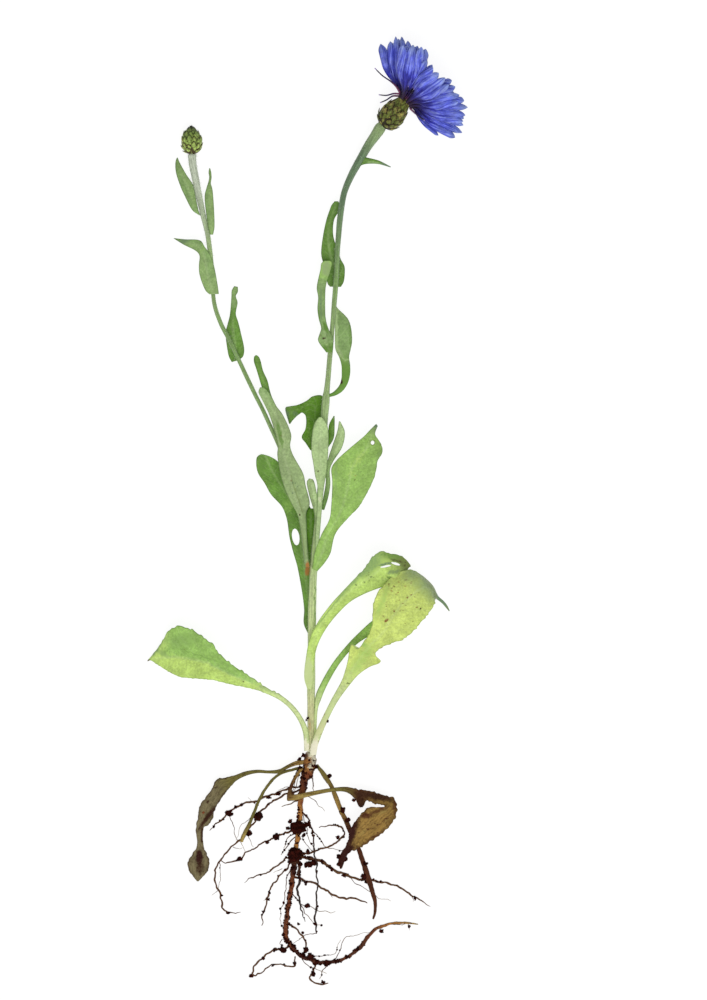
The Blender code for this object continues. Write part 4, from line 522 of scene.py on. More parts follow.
# Patches of another colour: (x, y, long radius, short radius, tilt in degrees, colour, strength)
MARKS = {
    "basal_leaf_left": [
        (-45.7, 32.2, 3.8, 0.6, 58, "slate", 0.6), (-0.4, 2.6, 0.9, 2.4, 0, "cream", 0.8),
        (-48.3, 28.5, 0.7, 0.5, 0, "bark_dark", 0.8), (-38, 34.6, 5, 2.2, 8, "sage", 0.35),
        (-17.5, 20.8, 6, 1.2, 28, "lime", 0.5), (-19.9, 22.6, 0.28, 0.2, 0, "bark_dark", 0.9),
        (-1.6, 3.5, 0.7, 2.4, 0, "cream", 0.7), (-33, 30.2, 8.5, 0.22, -17, "fern", 0.5),
        (-19, 24.8, 8, 0.35, -27, "fern", 0.45), (-44, 30.6, 2.5, 0.8, -30, "sage", 0.5),
        (-6.5, 16, 4, 0.8, 45, "celery", 0.8),
    ],
    "basal_leaf_right": [
        (32.8, 51.4, 7, 3, -48, "silver", 0.38), (34.6, 52.2, 5.6, 1, -50, "olive", 0.4),
        (38.8, 46.6, 2.6, 1.1, -50, "slate", 0.85), (36.7, 47.8, 0.5, 1.1, 10, "olive", 0.7),
        (22.3, 40.7, 0.85, 0.5, 20, "bark_red", 0.75), (24.7, 50.7, 0.3, 0.22, 0, "bark_red", 0.9),
        (28.5, 47.5, 0.35, 0.2, 40, "bark_red", 0.9), (32.4, 44.1, 0.32, 0.26, 0, "dead_dark", 0.95),
        (31.8, 48.9, 0.25, 0.2, 0, "dead_dark", 0.9), (27.6, 43.7, 0.22, 0.2, 0, "bark_red", 0.8),
        (22.3, 44.8, 0.22, 0.18, 0, "bark_red", 0.8), (20.8, 32.2, 1, 0.4, 25, "bark_red", 0.85),
        (11, 22, 0.5, 0.28, 20, "dead_dark", 0.9), (4.6, 10.4, 0.45, 0.25, 50, "dead_dark", 0.95),
        (1, 5.3, 0.3, 0.2, 0, "bark_red", 0.85), (15, 29.2, 7.5, 2.2, 55, "meadow", 0.45),
        (21.2, 46.5, 7, 1.1, 70, "meadow", 0.45), (0.9, 2.6, 1.3, 3.6, -12, "cream", 0.9),
        (3, 9.6, 1.4, 5, -22, "stem_foot", 0.6), (5.6, 14.6, 5, 0.9, 62, "celery", 0.8),
        (14.6, 34.2, 2.2, 0.8, -30, "meadow", 0.6),
    ],
    "basal_leaf_arching": [
        (17.2, 57.2, 6, 2.8, 42, "sage", 0.75), (24.6, 59.6, 4, 1.6, -16, "fern", 0.6),
        (11.6, 51.6, 7, 1.3, 50, "sage", 0.6), (27.6, 57.8, 2.2, 1.3, -40, "olive", 0.8),
        (22.2, 57.3, 2.4, 0.4, 12, "slate", 0.8), (25.2, 58.3, 1.9, 0.3, -16, "dead_dark", 0.5),
        (23.2, 53.4, 0.7, 0.45, 0, "fern", 0.7), (24.6, 55, 2.4, 0.7, 10, "ash", 0.7),
        (-0.8, 24.5, 1.8, 6.5, 0, "celery", 0.85), (5, 43, 8, 0.35, 52, "sage", 0.6),
    ],
    "basal_leaf_middle": [
        (1.2, 8, 1, 7, 0, "celery", 0.6),
    ],
    "stem_leaf_dark_left": [
        (-6.5, 75.2, 3.4, 2.2, 50, "leafy", 0.5), (-1.1, 55.6, 0.8, 1.9, 0, "rust", 0.9),
        (-15, 85, 1, 4, -15, "fern", 0.5), (-0.2, 44, 0.3, 6, 0, "deep", 0.6),
    ],
    "stem_leaf_long_left": [
        (-1, 56.2, 0.8, 1.9, 0, "rust", 1), (-9.2, 95.6, 0.7, 4.6, 12, "fern", 0.65),
        (-3.4, 71.9, 0.26, 0.26, 0, "dead_dark", 1), (-6.4, 92, 0.9, 3.2, 5, "pale", 0.3),
        (-13.9, 106.2, 1.9, 3.2, 15, "pale", 0.55), (-4.4, 78.5, 0.3, 9, 18, "olive", 0.5),
        (-2.3, 64, 0.35, 6, 6, "olive", 0.35),
    ],
    "stem_leaf_centre": [
        (2.2, 84.8, 0.28, 0.28, 0, "dead_dark", 0.95), (2.4, 92, 0.25, 7, 0, "silver", 0.5),
        (2.6, 76.4, 0.6, 1, 0, "cream", 0.5),
    ],
    "side_leaf_grey": [
        (4.4, 79, 0.9, 5.5, -6, "sage", 0.5),
    ],
    "stem_leaf_right": [
        (14, 88.4, 4.4, 1.5, 50, "lemon", 0.3), (12.2, 83.8, 1.6, 0.9, 0, "lemon", 0.25),
        (13.2, 83.8, 0.24, 0.18, 0, "bark_red", 0.8), (19.5, 98.3, 0.8, 0.6, 0, "slate", 0.9),
        (18.3, 93.3, 0.95, 1, 0, "olive", 0.6), (4.2, 62.6, 4, 0.5, 66, "pale", 0.25),
        (7.4, 84, 0.5, 6, 0, "sage", 0.5), (19.9, 88.6, 0.7, 3, -10, "sage", 0.4),
    ],
    "stem_leaf_drooping": [
        # The slate patches at the tip are painted highlights, and the deep one at the turn is painted shade.
        (-7.4, 101.4, 0.8, 2.4, 10, "slate", 0.8), (-4.6, 101.8, 0.7, 1.4, 30, "slate", 0.5),
        (-2, 104.6, 3.4, 0.7, 30, "sage", 0.2), (-0.6, 95.6, 0.8, 4.4, 0, "leafy", 0.25),
        (2.4, 104, 0.8, 3.4, 0, "deep", 0.6),
    ],
    "flower_leaf_right": [
        (9.6, 113.2, 2.4, 5.6, 0, "moss", 0.7), (8.9, 111.4, 0.4, 0.8, 0, "dead_dark", 1),
        (7.5, 126.6, 0.6, 6.5, 0, "pale", 0.8), (9.8, 118.3, 1.8, 0.22, -22, "pale", 0.7),
        (11.6, 126, 0.4, 5, 0, "fern", 0.5),
    ],
    "flower_leaf_left_lower": [
        (3.8, 124.3, 0.6, 0.32, 30, "dead_dark", 1), (4.3, 127.4, 0.7, 2.2, 20, "fern", 0.8),
        (2.9, 134, 0.5, 6, 0, "slate", 0.5), (2.2, 130, 0.3, 4, 0, "fern", 0.6),
        (4.6, 145, 1.8, 2.6, 0, "silver", 0.75),
    ],
    "flower_leaf_top": [
        (22.4, 175.8, 2, 0.8, -20, "slate", 0.9),
    ],
    "bud_leaf_middle": [
        (-38.5, 153, 3, 0.9, 18, "slate", 0.6), (-31.8, 151.6, 2.4, 0.6, 60, "meadow", 0.4),
    ],
    "withered_leaf_left": [
        (-31.2, -18.4, 4.4, 0.75, 56, "dead_dark", 1), (-29, -16.4, 2.6, 0.7, 52, "soil", 0.55),
        (-30.9, -13.4, 0.6, 0.4, 0, "dead_dark", 0.9), (-31.9, -16.6, 0.35, 0.3, 0, "bark_red", 0.9),
        (-33.3, -30, 1.2, 2.5, 0, "soil", 0.9), (-33, -33.4, 1.4, 2.2, 0, "dead_dark", 0.65),
        (-32.5, -23.4, 0.45, 2.6, 0, "dead_dark", 0.75), (-28, -9, 0.7, 0.35, 30, "dead_dark", 0.6),
        (-26.4, -12.4, 3, 0.5, 55, "dead_dark", 0.5), (-3.6, -1.9, 2.2, 1, 10, "dead_brown", 0.6),
        (-7.4, -3.9, 0.6, 0.3, 20, "soil", 0.9), (-5.4, -2.3, 2.6, 0.22, 22, "soil", 0.8),
        (-6.4, -4, 2.4, 0.2, 14, "soil", 0.8), (-31, -9.8, 3.4, 0.7, 55, "dead_grey", 0.7),
    ],
    "withered_leaf_right": [
        (19.6, -11.7, 6.4, 1.3, -10, "dead_dark", 0.95), (14.7, -13.4, 3, 1.6, -80, "dead_dark", 0.75),
        (15, -14.8, 0.9, 0.6, 0, "dead_dark", 0.8), (19.6, -16, 4.2, 0.7, 20, "bark_dark", 0.65),
        (16.4, -17.4, 1.4, 0.9, 0, "bark_dark", 0.75), (11.9, -22.6, 5.6, 1.5, 68, "soil", 0.95),
        (10.3, -29.6, 5, 2.2, 66, "soil", 0.95), (21.6, -18.8, 3.4, 0.35, 38, "bark_dark", 0.5),
        (24.9, -15, 0.7, 2.6, 0, "bark_dark", 0.7), (18.4, -24, 4.2, 0.6, 35, "bark_dark", 0.65),
        (-6.2, -11.4, 1.2, 1.4, 0, "bark_dark", 0.5), (3, -10.9, 6, 0.3, 0, "dead_dark", 0.6),
        (17, -21.4, 2.4, 0.4, 40, "bark_dark", 0.35), (21.2, -16.4, 1.6, 0.4, 30, "dead_straw", 0.6),
        (15.4, -22.4, 2, 0.5, 45, "dead_straw", 0.5),
    ],
    "main_stem": [
        (-0.4, 9.6, 0.6, 2, 0, "rust", 0.45), (1.1, 14.6, 0.2, 0.9, 0, "fern", 0.9),
        (-0.9, 55.8, 0.8, 2, 0, "rust", 1), (-1.2, 11.1, 0.6, 0.35, 40, "soil", 0.95),
        (1.1, 46, 0.25, 8, 0, "fern", 0.7), (-0.6, 3, 0.8, 3, 0, "dusky", 0.3),
        (4.2, 97, 0.5, 5, 0, "fern", 0.3),
    ],
    "bud_stalk": [
        (-1.1, 57, 0.9, 1.8, 0, "rust", 1), (-2, 66, 0.25, 5, 8, "olive", 0.4),
    ],
    "root_crown": [
        (-0.2, 0.9, 1.8, 1.3, 0, "cream", 0.75), (0.7, -0.6, 0.9, 1.2, 0, "cream", 0.6),
        (-1.4, 0.6, 0.6, 0.8, 0, "bark_red", 0.8), (-0.6, -0.8, 1.1, 1, 0, "rust", 0.8),
        (-0.2, -3, 0.8, 1, 0, "cream", 0.75), (0.9, -1.6, 0.6, 1.4, 0, "cream", 0.6),
        (-2.5, -3.6, 0.9, 1.6, 0, "soil", 0.95), (-1, -5, 1.4, 0.8, 30, "bark_red", 0.8),
        (-1.9, 0.2, 0.9, 0.9, 0, "dead_dark", 0.7),
    ],
    "taproot": [
        (-1.4, -8.6, 1, 1.2, 0, "soil", 0.75), (-2.4, -13.6, 1.2, 0.7, 20, "bark_red", 0.8),
        (-0.8, -5.4, 1.6, 0.9, 20, "bark_red", 0.8), (-4.9, -33, 1.6, 3, 0, "soil", 0.8),
        (-7.6, -47, 0.8, 3, 0, "bark_dark", 0.6), (-3, -59, 5, 1.4, -25, "soil", 0.8),
        (6, -61.2, 5, 1.3, 0, "soil", 0.75), (13, -58, 2.2, 0.9, 40, "bark_dark", 0.7),
    ],
}
# Specks strewn over an oval: (number, x, y, half its width, half its height, colour)
SPRINKLES = {
    "basal_leaf_right": [
        (26, 26, 46.5, 7, 7.5, "bark_red"), (8, 24.6, 51, 3.4, 3, "rust"), (6, 3, 8, 1.8, 6, "bark_red"),
    ],
    "basal_leaf_arching": [(8, 17, 54, 6, 4.5, "olive"), (5, 27, 57.4, 2, 1.6, "dead_dark")],
    "stem_leaf_right": [(9, 14, 85, 5, 7, "olive")],
    "stem_leaf_long_left": [(8, -5, 82, 3.4, 9, "slate")],
    "withered_leaf_left": [(16, -27, -13, 6, 8, "dead_dark"), (8, -32.6, -26, 1.6, 7, "dead_dark")],
    "withered_leaf_right": [(26, 18, -19, 6, 5.5, "bark_dark"), (14, 20, -22, 5, 4, "dead_straw")],
    "root_crown": [(10, -0.6, -1, 1.8, 2.2, "soil"), (6, 0.2, -0.6, 1.2, 1.6, "cream")],
}
# How a colour changes along a piece: stops of a share of the way and a tone
STEM_TONES = (
    "0 cream, 0.02 stem_foot, 0.07 stem_foot, 0.11 celery, 0.2 celery, 0.4 pale, 0.52 dusky, 0.64 silver, "
    "0.74 sage, 0.86 slate, 0.94 slate, 1 silver"
)
BUD_STALK_TONES = "0 pale, 0.2 silver, 0.4 sage, 0.6 sage, 0.78 dusky, 0.92 stalk_wool"
DEAD_PETIOLE_TONES = (
    "0 dead_olive, 0.8 dead_olive, 0.97 dead_straw",
    "0 dead_olive, 0.3 dead_brown, 0.42 bark_dark, 1 bark_dark",
)
TAPROOT_TONES = (
    "0 bark_dark, 0.06 bark_red, 0.12 bark, 0.24 bark, 0.32 bark_red, 0.72 bark_red, 0.8 bark_dark, "
    "0.86 bark_red, 0.92 bark, 1 dead_straw"
)
# How thickly hairs grow, by the share of the way along a stalk
WOOL_GROWTH = {
    "bud_stalk": ((0.0, 0.08), (0.6, 0.15), (0.8, 0.7), (1.0, 1.0)),
    "main_stem": ((0.0, 0.05), (0.4, 0.10), (0.8, 0.16), (1.0, 0.30)),
}
DISC_SINKS = 0.8  # into the cup's mouth
DISC_SPREAD = 1.25
DISC_LEAN = 0.42
# A disc floret, 10 mm long: a slender tube, a flared mouth and the anthers in it
DISC_FLORET = [
    (0, 0, 0, 0.16), (0, 0, 3, 0.17), (0.05, 0, 5.2, 0.3), (0.12, 0, 6.4, 0.5), (0.14, 0, 6.7, 0.34),
    (0.18, 0, 7, 0.22), (0.3, 0, 8.2, 0.21), (0.55, 0, 9.3, 0.15), (0.85, 0, 10, 0.07),
]
GOLDEN = math.pi * (3 - math.sqrt(5))  # the turn from one scale or floret to the next
LAMP_PLACE = (0.25, -0.9, 1.5)  # in metres, as is the width
LAMP_WIDTH = 1.4
FLOOR_GREY = 0.18
FLOOR_GLOW = 0.88
SENSOR_WIDTH = 36  # of the camera, in millimetres


# ---- Settings that a user would change ----


def srgb(*levels):
    """Screen levels from 0 to 255 as the light values that a shader takes."""
    shares = [level / 255 for level in levels]
    return tuple(v / 12.92 if v <= 0.04045 else ((v + 0.055) / 1.055) ** 2.4 for v in shares)


def colour(name, description, *levels):
    return FloatVectorProperty(
        name=name, description=description, default=srgb(*levels), size=3, min=0, max=1, subtype="COLOR",
    )


def number(name, description, default, **limits):
    return FloatProperty(name=name, description=description, default=default, **limits)


def count(name, description, default, least):
    return IntProperty(name=name, description=description, default=default, min=least)


class CornflowerPalette(bpy.types.PropertyGroup):
    cream: colour("Cream", "The pale foot of the rosette's petioles", 236, 232, 204)
    stem_foot: colour("Stem foot", "The foot of the main stem", 206, 206, 152)
    celery: colour("Celery", "The pale green of a petiole", 200, 216, 150)
    lime: colour("Lime", "The bright half of a rosette leaf", 190, 220, 112)
    lemon: colour("Lemon", "The broad rosette leaf", 200, 218, 112)
    meadow: colour("Meadow", "The shaded half of a rosette leaf", 152, 194, 96)
    leafy: colour("Leafy", "The large leaf half-way up the stem", 150, 190, 94)
    pale: colour("Pale", "The woolly pale leaves", 174, 200, 138)
    silver: colour("Silver", "The grey-green leaves", 150, 174, 116)
    dusky: colour("Dusky", "The twisted leaf of the flower's stalk", 158, 184, 122)
    sage: colour("Sage", "Grey-green upper leaves", 132, 164, 98)
    budleaf: colour("Bud leaf", "The leaves of the bud's stalk", 138, 168, 102)
    fern: colour("Fern", "Darker green leaves", 98, 138, 54)
    moss: colour("Moss", "Strong dark green leaves", 106, 150, 58)
    deep: colour("Deep", "The darkest leaves", 86, 134, 22)
    olive: colour("Olive", "A tired leaf tip", 112, 128, 62)
    slate: colour("Slate", "A folded leaf tip", 104, 130, 96)
    ash: colour("Ash", "A bent, greyish leaf tip", 124, 146, 96)
    stalk_wool: colour("Stalk wool", "The woolly top of the bud's stalk", 196, 206, 182)
    bark: colour("Root bark", "The taproot", 196, 134, 66)
    bark_red: colour("Red bark", "The lower taproot", 126, 66, 34)
    bark_dark: colour("Dark bark", "Older root bark", 80, 40, 18)
    rootlet: colour("Rootlet", "The side roots", 104, 68, 34)
    dead_root: colour("Dead rootlet", "Old side roots that have turned black", 44, 42, 38)
    soil: colour("Soil", "Dark clinging soil", 50, 14, 8)
    dead_grey: colour("Grey dead leaf", "The left withered leaf", 124, 114, 82)
    dead_olive: colour("Olive dead leaf", "The petioles of the withered leaves", 112, 104, 50)
    dead_straw: colour("Straw dead leaf", "A dry petiole", 168, 144, 78)
    dead_brown: colour("Brown dead leaf", "The right withered leaf", 154, 122, 62)
    dead_dark: colour("Dark dead leaf", "Folds of the withered leaves", 58, 30, 12)
    rust: colour("Rust", "A scar on the stem", 172, 118, 58)
    bract_green: colour("Bract", "The scales of the cups", 94, 104, 32)
    petal: colour("Ray floret", "The blue of the large florets", 106, 118, 236)
    petal_deep: colour("Deep blue", "The inner half of each floret", 60, 62, 190)
    petal_navy: colour("Navy", "The shaded neck of each floret", 34, 24, 118)
    petal_tip: colour("Floret tip", "The lobes' outer ends", 138, 158, 222)
    petal_throat: colour("Floret throat", "The violet neck of each floret", 38, 8, 50)
    disc: colour("Disc floret", "The small inner florets", 40, 20, 78)


class CornflowerSizes(bpy.types.PropertyGroup):
    leaf_thickness: number("Leaf thickness", "At a leaf's margin, in millimetres", 0.22, min=0.05)
    rib_thickness: number("Rib thickness", "How far a rib stands below its leaf, in mm", 0.34, min=0)
    leaf_cell: number("Leaf cell", "The size of a leaf mesh's cells, in mm", 0.36, min=0.1)
    floret_thickness: number("Floret thickness", "Of a ray floret's lobes, in mm", 0.14, min=0.05)
    lobe_columns: count("Lobe columns", "Mesh cells across one lobe of a floret", 6, 2)
    bract_count: count("Bracts", "Scales on each of the two cups", 120, 8)
    disc_count: count("Disc florets", "Small florets inside the flower", 26, 1)
    wool_density: number("Wool", "Hairs per square millimetre of woolly stalk", 7.0, min=0)
    crumb_density: number("Crumbs", "Crumbs of soil per square millimetre of soiled root", 2.4, min=0)


class CornflowerStage(bpy.types.PropertyGroup):
    camera_height: number("Camera height", "Above the table", 1.654, min=0.1, unit="LENGTH")
    camera_x: number("Camera X", "Right of the plant's middle", 0.01375, unit="LENGTH")
    camera_y: number("Camera Y", "Towards the flowers from the middle", 0.0035, unit="LENGTH")
    lens: number("Lens", "Focal length", 200.0, min=1, unit="CAMERA")
    floor_width: number("Floor", "Width of the pale floor", 10.0, min=1, unit="LENGTH")
    sky_strength: number("Sky", "Strength of the even light from all round", 0.56, min=0)
    lamp_power: number("Lamp", "Power of the soft lamp, in watts", 17.0, min=0)


def tone(name):
    return tuple(getattr(bpy.context.scene.cornflower_palette, name))


def sizes():
    return bpy.context.scene.cornflower_sizes


# ---- Curves and noise ----


def unit(vectors):
    return vectors / np.linalg.norm(vectors, axis=-1, keepdims=True)


def steps(points):
    """The distance from each point of a route to the next."""
    return np.linalg.norm(np.diff(points, axis=0), axis=1)


def smooth_rows(rows, spacing, reach=None):
    """Rows read from a centripetal curve through the given rows, about `spacing` apart."""
    rows = np.asarray(rows, float)
    reach = steps(rows[:, :3]) if reach is None else reach
    knots = np.concatenate([[0.0], np.cumsum(np.sqrt(np.maximum(reach, 0.05)))])
    padded = np.vstack([2 * rows[0] - rows[1], rows, 2 * rows[-1] - rows[-2]])
    times = np.concatenate([[2 * knots[0] - knots[1]], knots, [2 * knots[-1] - knots[-2]]])

    def between(start, first, end, second, t):
        return first + (second - first) * (t - start) / (end - start)

    found = []
    for i in range(len(rows) - 1):
        t0, t1, t2, t3 = times[i:i + 4]
        p0, p1, p2, p3 = padded[i:i + 4]
        for t in np.linspace(t1, t2, max(2, round(reach[i] / spacing) + 1))[:-1]:
            a1, a2, a3 = between(t0, p0, t1, p1, t), between(t1, p1, t2, p2, t), between(t2, p2, t3, p3, t)
            found.append(between(t1, between(t0, a1, t2, a2, t), t2, between(t1, a2, t3, a3, t), t))
    found.append(rows[-1])
    return np.array(found)


def step(low, high, values):
    """0 below `low`, 1 above `high`, and a smooth rise between."""
    share = np.clip((np.asarray(values, float) - low) / (high - low), 0, 1)
    return share * share * (3 - 2 * share)


def waves(points, size, seed, octaves=3):
    """Smooth random swellings between about -1 and 1, `size` across, from crossed waves."""
    points = np.atleast_2d(np.asarray(points, float))
    draw = np.random.default_rng(seed)
    total = np.zeros(len(points))
    for octave in range(octaves):
        for _ in range(5):
            direction = unit(draw.normal(size=points.shape[1]))
            pace = math.tau / size * 2**octave * draw.uniform(0.7, 1.3)
            total += np.sin(points @ direction * pace + draw.uniform(0, math.tau)) * 0.5**octave
    return total / 4


def run_length(points):
    """The distance along a route at each of its points."""
    return np.concatenate([[0.0], np.cumsum(steps(points))])


def in_oval(points, x, y, long_radius, short_radius, tilt):
    """How far points are from a tilted oval's middle, as a share of its radii."""
    c, s = math.cos(math.radians(tilt)), math.sin(math.radians(tilt))
    away = points - (x, y)
    return np.hypot(away @ (c, s) / long_radius, away @ (-s, c) / short_radius)


def axis_frame(axis):
    """The axis as a unit vector, with the level direction to its left and the direction above it."""
    axis = unit(axis)
    left = unit(np.cross((0, 0, 1), axis))
    return axis, left, np.cross(axis, left)


def carried_frames(points):
    """For each point of a route: its direction, and two directions across it that never twist suddenly."""
    tangents = unit(np.gradient(points, axis=0))
    across = np.cross((0, 0, 1), tangents[0])
    if np.linalg.norm(across) < 0.1:
        across = np.array([1.0, 0, 0])
    sides = []
    for tangent in tangents:
        across = unit(across - tangent * (across @ tangent))
        sides.append(across)
    sides = np.array(sides)
    return tangents, sides, np.cross(tangents, sides)


def cup_rings(base, axis, profile, sides):
    """The rings of points of a turned cup."""
    along, left, above = axis_frame(axis)
    turn = np.arange(sides) * math.tau / sides
    ring = np.outer(np.cos(turn), left) + np.outer(np.sin(turn), above)
    return [np.asarray(base) + along * distance + ring * radius for distance, radius in profile]


def collar_in_row_frame():
    """Where the collar lies in the row frame: the bud's cup is worked out again and set on its CAD node."""
    low = np.vstack(cup_rings(BUD_BASE, BUD_AXIS, BUD_PROFILE, BUD_CAD_SIDES)).min(axis=0)
    return np.array(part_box("bud_involucre")[0]) - low * MM


COLLAR = collar_in_row_frame()


# ---- Meshes ----


def keep(mesh, key, values):
    """Stores a number or a vector for each point of a mesh."""
    values = np.asarray(values, float)
    kind, field = ("FLOAT_VECTOR", "vector") if values.ndim == 2 else ("FLOAT", "value")
    mesh.attributes.new(key, kind, "POINT").data.foreach_set(field, values.ravel())


def build_mesh(name, points, faces, values=None, origin=None):
    """A mesh from points in collar millimetres, or in millimetres from its own origin for a copy."""
    mesh = bpy.data.meshes.new(name)
    placed_points = np.asarray(points, float) * MM + (COLLAR if origin is None else origin)
    mesh.from_pydata(placed_points.tolist(), [], [list(map(int, face)) for face in faces])
    for key, value in (values or {}).items():
        keep(mesh, key, value)
    mesh.shade_smooth()
    mesh.update()
    return mesh


def sprinkled(name):
    """Small random specks inside the patches that SPRINKLES names."""
    draw = random.Random(5)
    specks = []
    for total, x, y, long_radius, short_radius, shade in SPRINKLES.get(name, ()):
        for _ in range(total):
            angle, out = draw.uniform(0, math.tau), math.sqrt(draw.random())
            size = draw.uniform(0.16, 0.34)
            place = (x + math.cos(angle) * out * long_radius, y + math.sin(angle) * out * short_radius)
            specks.append((*place, size, size * 0.8, draw.uniform(0, 180), shade, draw.uniform(0.5, 0.95)))
    return specks


def painted(name, points):
    """The colour of the marks at each point, and how much of it shows."""
    points = np.asarray(points, float)[:, :2]
    warped = points + 0.22 * np.column_stack([waves(points, 2.2, 31, 3), waves(points, 2.2, 32, 3)])
    shade, cover = np.zeros((len(points), 3)), np.zeros(len(points))
    for *oval, mark, strength in [*MARKS.get(name, ()), *sprinkled(name)]:
        soft = min(0.4, 0.1 * oval[2])
        amount = strength * (1 - step(0.65 - soft, 1.2 + soft, in_oval(warped, *oval)))
        over = amount + cover * (1 - amount)
        blend = np.where(over > 0, amount / np.maximum(over, 1e-6), 0)[:, None]
        shade = shade * (1 - blend) + np.array(tone(mark)) * blend
        cover = over
    return {"mark": shade, "marked": cover}


def thicken(name, points, faces, above, below, values, origin=None):
    """A closed thin plate: the sheet's points are pushed up and down, and its open edges get a wall."""
    faces = np.asarray(faces, int)
    used = np.unique(faces)
    renumber = np.full(len(points), -1)
    renumber[used] = np.arange(len(used))
    faces = renumber[faces]
    points, above, below = points[used], above[used], below[used]
    corners = points[faces]
    crossed = np.cross(corners[:, 2] - corners[:, 0], corners[:, 3] - corners[:, 1])
    normals = np.zeros_like(points)
    for corner in range(4):
        np.add.at(normals, faces[:, corner], crossed)
    normals /= np.maximum(np.linalg.norm(normals, axis=1), 1e-9)[:, None]
    total = len(points)
    directed = set(zip(faces.ravel().tolist(), np.roll(faces, -1, axis=1).ravel().tolist()))
    wall = [(b, a, a + total, b + total) for a, b in directed if (b, a) not in directed]
    doubled = {key: np.concatenate([np.asarray(value)[used]] * 2) for key, value in values.items()}
    doubled["under"] = np.repeat([0.0, 1.0], total)
    every_point = np.vstack([points + normals * above[:, None], points - normals * below[:, None]])
    every_face = [*faces.tolist(), *(faces[:, ::-1] + total).tolist(), *sorted(wall)]
    return build_mesh(name, every_point, every_face, doubled, origin)


def grid_faces(rows, columns, flip=False):
    first = (np.arange(rows - 1)[:, None] * columns + np.arange(columns - 1)[None, :]).ravel()
    faces = np.stack([first, first + 1, first + columns + 1, first + columns], axis=1)
    return faces[:, ::-1] if flip else faces


def tube_faces(rings, sides):
    """The faces of a closed tube whose points come ring by ring, followed by a point for each end."""
    around = [(j, (j + 1) % sides) for j in range(sides)]
    last, start = (rings - 1) * sides, rings * sides
    faces = [(i + j, i + k, i + sides + k, i + sides + j) for i in range(0, last, sides) for j, k in around]
    for j, k in around:
        faces += [(start, k, j), (start + 1, last + j, last + k)]
    return faces


def per_point(*grids):
    """Three grids as a vector for each point."""
    return np.dstack(np.broadcast_arrays(*grids)).reshape(-1, 3)


def tooth_wave(distance, spacing):
    """A saw that climbs slowly and drops quickly, with uneven spacing and height."""
    warped = distance / spacing + 0.22 * np.sin(distance / spacing * 2.7)
    phase = warped % 1.0
    rise = np.where(phase < 0.72, phase / 0.72, (1 - phase) / 0.28)
    return step(0, 1, rise) * (0.65 + 0.35 * np.sin(np.floor(warped) * 2.4))


